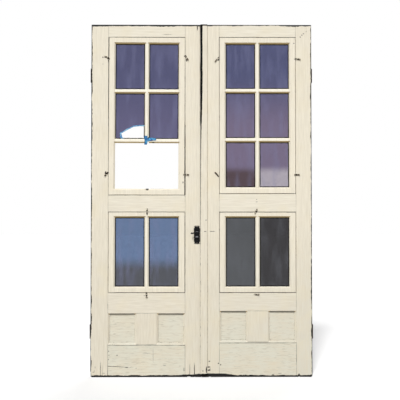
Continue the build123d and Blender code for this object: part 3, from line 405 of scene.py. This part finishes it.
def oil_paint(name, high, low, grain, ageing=1.0, under="a98a3e", weathered=False, seam_shadow=False):
    """Hand-brushed cream oil paint on pine: eggshell sheen, strokes along the grain, brown grime and
    painted shade in every corner, painted golden or brown shade where a face looks down, grey dust on
    ledges, bare dark wood along the worn arrises, and on the astragal a painted black shadow beside its
    lapping edge."""
    material, tree = new_finish(name)
    place = object_place(tree)
    xyz = parts_of(tree, place)
    height = xyz["Z"]

    # the paint is greyer towards the ground, and more so on the right leaf
    colour = mix(tree, ramp(tree, height, 0.15, 1.35), low, high)
    falling = ramp(tree, height, 0.95, 0.05)
    rightwards = ramp(tree, xyz["X"], -0.3, 0.7, 0.15, 0.85)
    colour = mix(tree, calc(tree, "MULTIPLY", falling, rightwards), colour, "d2cfc1")

    # brush strokes are 1 to 3 mm apart; they are drawn 9 mm apart, so that they show, and they stand out
    # more near the ground, where the paint has thinned
    stroke_scale = (8, 115, 115) if grain == "X" else (115, 115, 8)
    strokes = soft_noise(tree, vector(tree, "MULTIPLY", place, stroke_scale), 1.0, 4.0, 0.6)
    stroke_share = ramp(tree, strokes, 0.36, 0.68, 0.0, 0.5 * ageing)
    thinned = ramp(tree, height, 1.2, 0.2, 1.0, 1.9)
    colour = mix(tree, calc(tree, "MULTIPLY", stroke_share, thinned), colour, "d6cdb9")

    # slow yellowing in patches 140 mm wide
    patches = soft_noise(tree, place, 7.0, 3.0, 0.55)
    yellowest = 0.12 if weathered else 0.3 * ageing
    colour = mix(tree, ramp(tree, patches, 0.48, 0.72, 0.0, yellowest), colour, "e6d9b8")
    if weathered:
        # chalking turns other patches cool and grey
        colour = mix(tree, ramp(tree, patches, 0.62, 0.36, 0.0, 0.42), colour, "d9d9ca")
        # drying checks along the grain are 0.3 mm wide; they are drawn 2 mm wide and faint
        checks = soft_noise(tree, vector(tree, "MULTIPLY", place, (26, 300, 300)), 1.0, 2.0)
        colour = mix(tree, ramp(tree, checks, 0.58, 0.7, 0.0, 0.6), colour, "aaa28d")

    # faces that look down are painted golden or brown as painted shade, and level ledges hold grey dust
    normal = add(tree, "NewGeometry").outputs["Normal"]
    up = parts_of(tree, normal)["Z"]
    colour = mix(tree, ramp(tree, up, -0.25, -0.65, 0.0, 0.8), colour, under)
    dustiest = 0.25 if weathered else 0.05
    colour = mix(tree, ramp(tree, up, 0.4, 0.6, 0.0, dustiest), colour, "968f7d")

    # dirt and painted shade in joints, quirks and cracks, darker where the surface is most hidden
    open_share = add(tree, "AmbientOcclusion", {"Distance": 9 * MM}, samples=8).outputs["AO"]
    dirt_and_shade_edge = ramp(tree, soft_noise(tree, place, 60.0, 3.0), 0.3, 0.7, 0.42, 0.78)
    dirt_and_shade = ramp(tree, calc(tree, "SUBTRACT", dirt_and_shade_edge, open_share), 0.0, 0.25, 0.0, 0.95)
    # the joints beside the astragal are painted shut or closed tight, so they hold little dirt or shade
    off_middle = calc(tree, "ABSOLUTE", calc(tree, "SUBTRACT", xyz["X"], astragal_middle))
    beside = calc(tree, "COMPARE", off_middle, astragal_side - astragal_middle, 4 * MM)
    dirt_and_shade_left = ramp(tree, height, 1.5, 0.6, 0.05, 0.35)
    kept_open = ramp(tree, beside, 0.0, 1.0, 1.0, dirt_and_shade_left)
    # and so do the gaps round the sashes that paint bridges
    unbridged = calc(tree, "SUBTRACT", 1.0, mask_from(tree, bridged_gaps))
    kept_open = calc(tree, "MULTIPLY", kept_open, unbridged)
    # this brown darkening is part dirt, part painted shade where the surface is hidden
    colour = mix(tree, calc(tree, "MULTIPLY", dirt_and_shade, kept_open), colour, "3a2e20")

    # arrises where the paint has gone, then joints with painted shade in open gaps, knocks with a few
    # painted shade marks, and the worn outline with its painted shadow
    softened = add(tree, "Bevel", {"Radius": 2.2 * MM}, samples=4).outputs[0]
    turned = vector(tree, "DOT_PRODUCT", softened, normal, out="Value")
    chips = soft_noise(tree, place, 34.0, 5.0, 0.65)
    worn = calc(tree, "MULTIPLY", ramp(tree, turned, 0.985, 0.93), ramp(tree, chips, 0.56, 0.62))
    colour = mix(tree, calc(tree, "MULTIPLY", worn, 0.8 * ageing), colour, "54432f")
    for group, stain in ((joints_and_gap_shade, "352c20"), (knocks_and_shade_marks, "1d1610"), (worn_and_shaded_outline, "060504")):
        colour = mix(tree, mask_from(tree, group), colour, stain)
    if seam_shadow:
        # painted shadow: a black strip along the lapping edge stands for the shade in the gap between the
        # leaves, widest at the head
        slow = ramp(tree, height, 0.7, 1.45, 0.6 * MM, 4.4 * MM)
        fast = ramp(tree, height, 1.42, 1.86, 0.0, 9.6 * MM, smooth=True)
        ragged = ramp(tree, chips, 0.3, 0.7, -1.0 * MM, 1.0 * MM)
        width = calc(tree, "ADD", calc(tree, "ADD", slow, fast), ragged)
        inside = calc(tree, "SUBTRACT", calc(tree, "ADD", width, astragal_edge), xyz["X"])
        colour = mix(tree, ramp(tree, inside, 0.0, 0.8 * MM), colour, "020202")

    surface(tree, {
        "Base Color": colour,
        "Roughness": ramp(tree, patches, 0.3, 0.7, 0.42, 0.6),
        "IOR": 1.5,
        # old oil paint has lost most of its gloss; the astragal's has less still, so that its painted
        # shadow stays black
        "Specular IOR Level": 0.08 if seam_shadow else 0.3,
        "Normal": relief(tree, 0.35, 0.9 * MM, strokes, softened),
    })
    return material


upright_paint = oil_paint("brushed_oil_paint_on_stiles", "eee6d3", "e4dcca", "Z")
# the rails' undersides are painted dark brown-grey: painted shade over the panels
level_paint = oil_paint("brushed_oil_paint_on_rails", "efe8d6", "e7dfce", "X", under="3d392e")
foot_paint = oil_paint(
    "weathered_oil_paint_on_bottom_rails", "e0dbca", "dfdbca", "X", 1.3, weathered=True
)
panel_paint = oil_paint("thin_oil_paint_on_panels", "e1dcca", "e1dcca", "X", 1.1, weathered=True)
sash_paint = oil_paint("oil_paint_on_sashes", "f2ead7", "ede5d2", "Z", 0.8)
# the bars' paint is lighter than the sashes', partly as painted highlight where the thin bars catch the
# light
bar_paint = oil_paint("lighter_less_worn_oil_paint_on_bars", "fcf6e4", "f6efdd", "Z", 0.6)
seam_paint = oil_paint("brushed_oil_paint_on_astragal", "eee6d4", "e6decc", "Z", seam_shadow=True)
for side in SIDES:
    finish_with(upright_paint, [side + "hinge_stile", side + "meeting_stile", side + "panel_muntin"])
    finish_with(level_paint, [side + "top_rail", side + "lock_rail", side + "panel_rail"])
    finish_with(foot_paint, [side + "bottom_rail"])
    finish_with(panel_paint, [side + "panels"])
    finish_with(sash_paint, [side + "upper_sash", side + "lower_sash"])
    finish_with(bar_paint, [side + "upper_bars", side + "lower_bars"])
finish_with(seam_paint, ["astragal"])


# Glass

def seen_tint(text):
    """The colour of the glass itself for a pane that should read as this colour against white, where its
    two faces add their own pale reflection."""
    face_gloss = 0.045
    shares = [max(share - face_gloss, 0.004) for share in paint_colour(text)[:3]]
    return (shares[0], shares[1], shares[2], 1.0)


def drawn_glass(name, axis, start, end, first, last, wave="8486a8", foot_reflections=()):
    """Old drawn window glass: a dark slate tint that changes up or across the pane, long soft waves and a
    thin film of dust. The foot of the right leaf's left and right panes may take painted reflections."""
    material, tree = new_finish(name)
    place = object_place(tree)
    xyz = parts_of(tree, place)
    across = ramp(tree, xyz[axis], start, end, smooth=True)
    tint = mix(tree, across, seen_tint(first), seen_tint(last))
    if foot_reflections:
        left_reflection, right_reflection, head, foot = foot_reflections
        to_right = calc(tree, "GREATER_THAN", xyz["X"], right_middle)
        reflected_tint = mix(tree, to_right, seen_tint(left_reflection), seen_tint(right_reflection))
        tint = mix(tree, ramp(tree, xyz["Z"], head, foot, smooth=True), tint, reflected_tint)

    # the sheet was drawn upright, so its waves are long upwards and about 40 mm apart across
    waves = soft_noise(tree, vector(tree, "MULTIPLY", place, (24, 24, 5)), 1.0, 2.0)
    tint = mix(tree, ramp(tree, waves, 0.45, 0.7, 0.0, 0.3), tint, seen_tint(wave))
    dust = ramp(tree, soft_noise(tree, place, 45.0, 4.0), 0.45, 0.8, 0.0, 0.1)
    surface(tree, {
        "Base Color": tint,
        "Roughness": 0.05,
        "IOR": 1.52,
        "Specular IOR Level": 0.3,
        "Transmission Weight": calc(tree, "SUBTRACT", 1.0, dust),
        "Normal": relief(tree, 0.25, 2 * MM, waves),
    })
    return material


left_tall_glass = drawn_glass("drawn_glass_slate_blue", "Z", 1.55, 1.95, "696684", "5b5c7b")
# painted reflections at the foot of the right upper panes: brown on the left one, pale on the right one
right_foot_reflections = ("5c4e54", "b0a9b3", 1.35, 1.29)
right_tall_glass = drawn_glass(
    "drawn_glass_slate_to_lilac", "Z", 1.55, 1.95, "7c7189", "595c7c", foot_reflections=right_foot_reflections
)
# grey at the foot and sky blue above: painted reflection of ground and sky
left_low_glass = drawn_glass("drawn_glass_grey_to_sky_blue", "Z", 0.67, 0.77, "5a5c62", "6b7e9f")
right_change = (right_middle - 50 * MM, right_middle + 50 * MM)
right_low_glass = drawn_glass("drawn_glass_grey", "X", *right_change, "5b5d60", "434244", "6c6e74")
finish_with(left_tall_glass, ["left_upper_glass", "left_broken_pane"])
finish_with(right_tall_glass, ["right_upper_glass"])
finish_with(left_low_glass, ["left_lower_glass"])
finish_with(right_low_glass, ["right_lower_glass"])


# Metal

def japanned_iron():
    """Black japan baked on cast iron, dull with age, grey on high edges and on the case: worn metal and
    painted highlight.
    """
    material, tree = new_finish("black_japanned_iron")
    place = object_place(tree)
    normal = add(tree, "NewGeometry").outputs["Normal"]
    softened = add(tree, "Bevel", {"Radius": 0.9 * MM}, samples=4).outputs[0]
    turned = vector(tree, "DOT_PRODUCT", softened, normal, out="Value")
    rubbed_and_highlighted = ramp(tree, turned, 0.98, 0.8, 0.0, 0.25)
    cast = soft_noise(tree, place, 320.0, 3.0)
    # the front of the case is grey above and below the lever, rubbed by fingers and painted as highlights:
    # how far up, and half the height of each place
    for share_up, half_height in ((0.74, 6 * MM), (0.36, 8 * MM)):
        middle = (case_middle, case_low.y, case_low.z + share_up * (case_high.z - case_low.z))
        scale = (1 / (10 * MM), 1 / (3 * MM), 1 / half_height)
        shape = vector(tree, "MULTIPLY", vector(tree, "SUBTRACT", place, middle), scale)
        size = vector(tree, "LENGTH", shape, out="Value")
        handled_and_highlighted = ramp(tree, calc(tree, "ADD", size, cast), 1.75, 1.3)
        rubbed_and_highlighted = calc(tree, "MAXIMUM", rubbed_and_highlighted, handled_and_highlighted)
    surface(tree, {
        "Base Color": mix(tree, rubbed_and_highlighted, "050506", "848386"),
        "Roughness": ramp(tree, cast, 0.3, 0.7, 0.34, 0.52),
        "Specular IOR Level": 0.16,
        "Normal": relief(tree, 0.3, 0.5 * MM, cast, softened),
    })
    return material


def painted_over_steel(name, paint_share, metal):
    """Pressed steel that was painted with the door: cream in most places, darker in its crevices as
    painted shade, and brown steel where the paint has worn off."""
    material, tree = new_finish(name)
    # the noise seldom leaves 0.3 to 0.7, so the share is squeezed into that
    edge = 0.5 + (paint_share - 0.5) * 0.4
    flaking = soft_noise(tree, object_place(tree), 90.0, 4.0, 0.6)
    painted = ramp(tree, flaking, edge + 0.02, edge - 0.02)
    # the cream is painted darker where the surface is hidden: painted shade
    open_share = add(tree, "AmbientOcclusion", {"Distance": 6 * MM}, samples=8).outputs["AO"]
    cream = mix(tree, ramp(tree, open_share, 0.25, 0.7), "5e4f39", "e3dac3")
    surface(tree, {
        "Base Color": mix(tree, painted, metal, cream),
        "Roughness": 0.55,
        "Metallic": calc(tree, "SUBTRACT", 1.0, painted),
        "Normal": relief(tree, 0.4, 0.4 * MM, painted),
    })
    return material


iron = japanned_iron()
button_finish = painted_over_steel("steel_buttons_part_painted", 0.38, "2a2119")
screw_finish = painted_over_steel("steel_screws_part_painted", 0.4, "6b5d4c")
hinge_finish = painted_over_steel("rusty_steel_hinges", 0.2, "4a3a2c")
finish_with(iron, ["latch_case", "latch_bolt", "latch_spindle", "latch_lever"])
finish_with(iron, ["latch_rose", "latch_knob", "latch_screws"])
finish_with(screw_finish, ["left_screws", "right_screws"])
finish_with(hinge_finish, ["jamb_hinge_leaves", "hinge_pins"])
finish_with(hinge_finish, ["left_door_hinge_leaves", "right_door_hinge_leaves"])
finish_with(button_finish, [name for name in nodes if "turn_button" in name])


# Putty and tape finishes

def glazing_putty():
    """Linseed putty, knifed on and dried hard: chalky, finely cracked and marked by the knife."""
    material, tree = new_finish("dry_linseed_putty")
    place = object_place(tree)
    cracks = add(tree, "TexVoronoi", {"Vector": place, "Scale": 70.0}, feature="DISTANCE_TO_EDGE")
    crack_share = ramp(tree, cracks.outputs["Distance"], 0.05, 0.0, 0.0, 0.7)
    mottle = soft_noise(tree, place, 40.0, 4.0)
    chalk = mix(tree, mottle, "cfc5ae", "e2d9c4")
    surface(tree, {
        "Base Color": mix(tree, crack_share, chalk, "6a5c45"),
        "Roughness": 0.85,
        "Normal": relief(tree, 0.5, 1.0 * MM, mottle),
    })
    return material


def shadow_bedding():
    """The putty that the panes are bedded in, squeezed out at the sight edge, black with grime and as a
    painted shadow of the wood along the glass.
    """
    material, tree = new_finish("black_bedding_putty_painted_shadow")
    grime = soft_noise(tree, object_place(tree), 120.0, 3.0)
    surface(tree, {
        "Base Color": mix(tree, grime, "090807", "241f19"),
        "Roughness": 0.8,
        "Specular IOR Level": 0.2,
        "Normal": relief(tree, 0.4, 0.5 * MM, grime),
    })
    return material


def crepe_tape(name, colour, lighter):
    """Blue crepe masking tape: matt paper with fine cross ridges, paler and darker in patches: painted
    light and shade of its crumples.
    """
    material, tree = new_finish(name)
    place = object_place(tree)
    # crepe ridges are 0.5 mm apart; they are drawn 1.5 mm apart
    ridges = soft_noise(tree, place, 650.0, 2.0)
    folds = soft_noise(tree, place, 90.0, 3.0)
    surface(tree, {
        "Base Color": mix(tree, ramp(tree, folds, 0.4, 0.6), colour, lighter),
        "Roughness": 0.7,
        "Normal": relief(tree, 0.6, 0.6 * MM, ridges),
    })
    return material


bedding = shadow_bedding()
finish_with(glazing_putty(), ["left_putty", "right_putty"])


def mesh_piece(name, points, faces, finish):
    """A smooth mesh with one finish, as an object of the scene."""
    mesh = bpy.data.meshes.new(name)
    mesh.from_pydata(points, [], faces)
    mesh.shade_smooth()
    mesh.materials.append(finish)
    piece = bpy.data.objects.new(name, mesh)
    bpy.context.scene.collection.objects.link(piece)
    return piece


# Dark line round each pane: black bedding putty as a painted shadow along the glass

def lights_of(side, upper):
    """The lights of a sash as their edges in x and z, from the sash's own box."""
    low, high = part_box(side + ("upper_sash" if upper else "lower_sash"))
    middle = (low.x + high.x) / 2
    foot, head = sash_heights(side, upper)
    foot_rail, head_rail = upper_sash_rails if upper else lower_sash_rails
    rows = 3 if upper else 1
    half = sash_width / 2 - sash_stile
    height = (head - head_rail - foot - foot_rail - (rows - 1) * bar_width) / rows
    lights = []
    for row in range(rows):
        z = foot + foot_rail + row * (height + bar_width)
        lights.append((middle - half, middle - bar_width / 2, z, z + height))
        lights.append((middle + bar_width / 2, middle + half, z, z + height))
    return lights


def leaning(point):
    """A point of the left upper sash as it leans in its opening."""
    across, up = point.x - leaning_middle.x, point.z - leaning_middle.z
    x, z = across + up * left_sash_lean, up - across * left_sash_lean
    return Vector((leaning_middle.x + x, point.y, leaning_middle.z + z))


def bedding_line(name, lights, body, leans):
    """A narrow uneven black bead round each light, on the glass against the wood: a painted shadow along
    its edge.
    """
    step_length = 9 * MM
    # from under the wood to the glass: share of the width, and height above the glass in millimetres
    profile = ((-0.12, 0.9), (0.35, 1.0), (0.8, 0.6), (1.0, 0.1))
    points = []
    faces = []
    for x0, x1, z0, z1 in lights:
        corners = [Vector((x0, 0, z0)), Vector((x1, 0, z0)), Vector((x1, 0, z1)), Vector((x0, 0, z1))]
        middle = Vector(((x0 + x1) / 2, 0, (z0 + z1) / 2))
        rim = []
        for start, end in zip(corners, corners[1:] + corners[:1]):
            count = round((end - start).length / step_length)
            rim.extend((start.lerp(end, step / count), end - start) for step in range(count))
        first = len(points)
        for point, way in rim:
            width = (6.2 + 1.8 * noise.noise(point * 90)) * MM
            inward_x = math.copysign(width, middle.x - point.x)
            inward_z = math.copysign(width, middle.z - point.z)
            inward = Vector((inward_x, 0, inward_z))
            if point not in corners:
                inward = Vector((0, 0, inward_z)) if abs(way.x) > abs(way.z) else Vector((inward_x, 0, 0))
            for share, lift in profile:
                spot = point + inward * share + Vector((0, glass_front - lift * MM, 0))
                points.append(leaning(spot) if leans else spot)
        size = len(profile)
        for step in range(len(rim)):
            here, there = first + size * step, first + size * ((step + 1) % len(rim))
            for ring in range(size - 1):
                faces.append((here + ring, here + ring + 1, there + ring + 1, there + ring))
    piece = mesh_piece(name, points, faces, bedding)
    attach(piece, body)


# the lowest two lights of the left upper sash have lost their glass
bedding_line("shadow_round_left_upper_panes", lights_of("left_", True)[2:], "left_leaf", True)
bedding_line("shadow_round_left_lower_panes", lights_of("left_", False), "left_leaf", False)
bedding_line("shadow_round_right_upper_panes", lights_of("right_", True), "right_leaf", False)
bedding_line("shadow_round_right_lower_panes", lights_of("right_", False), "right_leaf", False)


# Tape, laid as thin crumpled sheets over the broken bar and pane

# steps from side to side of a strip over the bar
across_steps = 16


def crumple(point, out, height, spacing):
    """A point of tape lifted outwards off what it lies on, by folds of this height and spacing."""
    fold = noise.noise(point / spacing) + 0.5 * noise.noise(point / spacing * 2.3 + Vector((7, 3, 5)))
    return point + out * height * (0.45 + fold)


def taped_piece(name, sheets, finish, replaced):
    """One piece of tape from sheets of points, each a list of rows."""
    points = []
    faces = []
    for rows in sheets:
        start = len(points)
        count = len(rows[0])
        for row in rows:
            points.extend(row)
        for line in range(len(rows) - 1):
            for place in range(count - 1):
                first = start + line * count + place
                faces.append((first, first + 1, first + count + 1, first + count))
    piece = mesh_piece(name, points, faces, finish)
    paper = piece.modifiers.new("paper_thickness", "SOLIDIFY")
    paper.thickness = 0.2 * MM
    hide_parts(replaced)
    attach(piece, "left_leaf")


def along_section(section, share):
    """A point part of the way along a section line."""
    lengths = [(b - a).length for a, b in zip(section, section[1:])]
    left = share * sum(lengths)
    for index, length in enumerate(lengths):
        if left <= length or index == len(lengths) - 1:
            return section[index].lerp(section[index + 1], min(left / length, 1.0))
        left -= length


def tape_over_level_bar(bar_left, bar_foot):
    """The arm of tape that runs right from the crossing over the bar's top bevel, to a torn narrow
    end."""
    steps = 56
    head = bar_foot + bar_width
    start, end = bar_left + 12 * MM, bar_left + 74 * MM
    rows = []
    for step in range(steps + 1):
        share = step / steps
        x = start + (end - start) * share
        # it narrows to two fifths over the last three quarters
        narrowing = 1.0 - 0.6 * max(0.0, share - 0.25) / 0.75
        section = [
            Vector((x, glass_front - 1.0 * MM, head + 8 * MM * narrowing)),
            Vector((x, glass_front - 2.2 * MM, head + 0.6 * MM)),
            Vector((x, room_face - 1.0 * MM, head - bevel + 0.4 * MM)),
            Vector((x, room_face - 1.2 * MM, head - bevel - 7 * MM * narrowing)),
        ]
        cut = 0.2 * noise.noise(Vector((x * 190, 0, 2)))
        row = []
        for place in range(across_steps + 1):
            across = place / across_steps
            point = along_section(section, min(max(across + cut * (across - 0.5), 0.0), 1.0))
            row.append(crumple(point, Vector((0, -0.8, 0.6)), 1.9 * MM, 7 * MM))
        rows.append(row)
    return rows


def tape_down_crossing(bar_left, bar_foot):
    """The arm of tape that holds the broken bar: down its left bevel and front, and past the level
    bar."""
    steps = 48
    top, end = bar_foot + bar_width + 19 * MM, bar_foot - 10 * MM
    rows = []
    for step in range(steps + 1):
        z = top + (end - top) * step / steps
        # below the bar the end hangs free and curls back
        hanging = max(0.0, bar_foot + 3 * MM - z)
        back = hanging * 0.45
        section = [
            Vector((bar_left - 2.0 * MM, glass_front - 2.5 * MM + back, z)),
            Vector((bar_left - 0.6 * MM, glass_front - 3.5 * MM + back, z)),
            Vector((bar_left + bevel - 0.5 * MM, room_face - 1.4 * MM + back, z)),
            Vector((bar_left + 20 * MM - hanging * 0.5, room_face - 2.0 * MM + back, z - 1.5 * MM)),
        ]
        row = []
        for place in range(across_steps + 1):
            point = along_section(section, place / across_steps)
            row.append(crumple(point, Vector((-0.5, -0.85, 0)), 1.8 * MM, 8 * MM))
        rows.append(row)
    return rows


def tape_along_break(light_right, light_foot):
    """Tape folded over the broken edge of the pane, from its right edge round to its foot."""
    steps = 90
    # corners of the break, right and up from the lower right corner of the light, in millimetres
    corners = [(-1, 82), (-32, 84), (-72, 79), (-106, 62), (-131, 48), (-151, 37), (-146, 13), (-134, 2)]
    line = [Vector((light_right + x * MM, 0, light_foot + z * MM)) for x, z in corners]
    hole = Vector((light_right - 75 * MM, 0, light_foot + 35 * MM))
    rows = []
    for step in range(steps + 1):
        here = along_section(line, step / steps)
        ahead = along_section(line, min(step / steps + 0.02, 1.0))
        behind = along_section(line, max(step / steps - 0.02, 0.0))
        way = (ahead - behind).normalized()
        out = Vector((way.z, 0, -way.x))
        if out.dot(here - hole) < 0:
            out = -out
        # the end at the foot is bunched up to the left, three times as wide
        bunch = max(0.0, step / steps - 0.75) / 0.25
        out = (out + Vector((-1.5, 0, 0.6)) * bunch).normalized()
        width = (5.5 + 1.6 * noise.noise(here * 60)) * (1.0 + 2.0 * bunch) * MM
        row = []
        # over the front of the pane to the break, round it, and back over the outer side
        for share in (1.0, 0.8, 0.6, 0.4, 0.2, 0.0):
            point = here + out * width * share + Vector((0, glass_front - 0.5 * MM, 0))
            row.append(crumple(point, Vector((0, -1, 0)), 0.7 * MM, 5 * MM))
        row.append(here - out * 1.0 * MM + Vector((0, (glass_front + glass_back) / 2, 0)))
        for share in (0.0, 0.25, 0.5, 0.75, 1.0):
            point = here + out * width * share + Vector((0, glass_back + 0.5 * MM, 0))
            row.append(crumple(point, Vector((0, 1, 0)), 0.7 * MM, 5 * MM))
        rows.append(row)
    return rows


# the source's tape stands 12 mm left of the bar and 0.9 mm below it
tape_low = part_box("junction_tape")[0]
bar_left = tape_low.x + 12 * MM
bar_foot = tape_low.z + 0.9 * MM
junction_finish = crepe_tape("blue_crepe_tape", "165293", "4aa2cc")
junction_sheets = [tape_over_level_bar(bar_left, bar_foot), tape_down_crossing(bar_left, bar_foot)]
taped_piece("blue_tape_on_broken_bar", junction_sheets, junction_finish, "junction_tape")
edge_finish = crepe_tape("pale_blue_crepe_tape", "367ab4", "8fc6e0")
edge_sheets = [tape_along_break(bar_left, bar_foot + bar_width)]
taped_piece("blue_tape_on_broken_pane", edge_sheets, edge_finish, "pane_tape")


# Floor, light and camera

def seen_directly(tree):
    """1 for what the camera sees, mirrored or through glass too, and 0 for light on its way."""
    ray = add(tree, "LightPath").outputs
    direct = calc(tree, "MAXIMUM", ray["Is Camera Ray"], ray["Is Glossy Ray"])
    return calc(tree, "MAXIMUM", direct, ray["Is Transmission Ray"])


def pale_floor():
    """A plain white floor that keeps the doors' shadow; the camera sees it as white as the backdrop."""
    bpy.ops.mesh.primitive_plane_add(size=40)
    floor = bpy.context.object
    floor.name = "pale_floor"
    material, tree = new_finish("plain_white_floor")
    whitening, paleness = 0.2, 0.72
    glow = add(tree, "Emission", {"Strength": calc(tree, "MULTIPLY", seen_directly(tree), whitening)})
    matt = add(tree, "BsdfDiffuse", {"Color": (paleness, paleness, paleness, 1.0)})
    both = add(tree, "AddShader", {0: matt.outputs[0], 1: glow.outputs[0]})
    add(tree, "OutputMaterial", {"Surface": both.outputs[0]})
    floor.data.materials.append(material)


def soft_world():
    """Even light from all round, a fifth as strong as the plain white that the camera sees."""
    world = bpy.data.worlds.new("soft_world")
    bpy.context.scene.world = world
    world.use_nodes = True
    tree = world.node_tree
    tree.nodes.clear()
    level = ramp(tree, seen_directly(tree), 0.0, 1.0, low=0.2)
    sky = add(tree, "Background", {"Color": (1.0, 1.0, 1.0, 1.0), "Strength": level})
    add(tree, "OutputWorld", {"Surface": sky.outputs[0]})


def sun(name, strength, angle, towards):
    """A lamp far away, so that both leaves get the same light; the angle in degrees softens its
    shadows."""
    lamp = bpy.data.lights.new(name, "SUN")
    lamp.energy = strength
    lamp.angle = math.radians(angle)
    holder = bpy.data.objects.new(name, lamp)
    holder.rotation_mode = "QUATERNION"
    holder.rotation_quaternion = Vector(towards).to_track_quat("-Z", "Y")
    bpy.context.scene.collection.objects.link(holder)


pale_floor()
soft_world()
sun("high_front_lamp", 2.95, 9, (0.25, 1.0, -1.4))
sun("back_fill_lamp", 1.1, 40, (-0.4, -1.0, -0.8))

# 3.5 m in front of the doors, a little left of the middle and a little below it
camera = bpy.data.objects.new("camera", bpy.data.cameras.new("camera"))
bpy.context.scene.collection.objects.link(camera)
camera.data.lens = 49.08
camera.data.sensor_width = 36
camera.location = (-0.0271, -3.5, 1.0557)
camera.rotation_mode = "QUATERNION"
camera.rotation_quaternion = Vector((0.0051, 1.0, 0.0196)).to_track_quat("-Z", "Y")
bpy.context.scene.camera = camera
bpy.context.scene.view_settings.view_transform = "Standard"
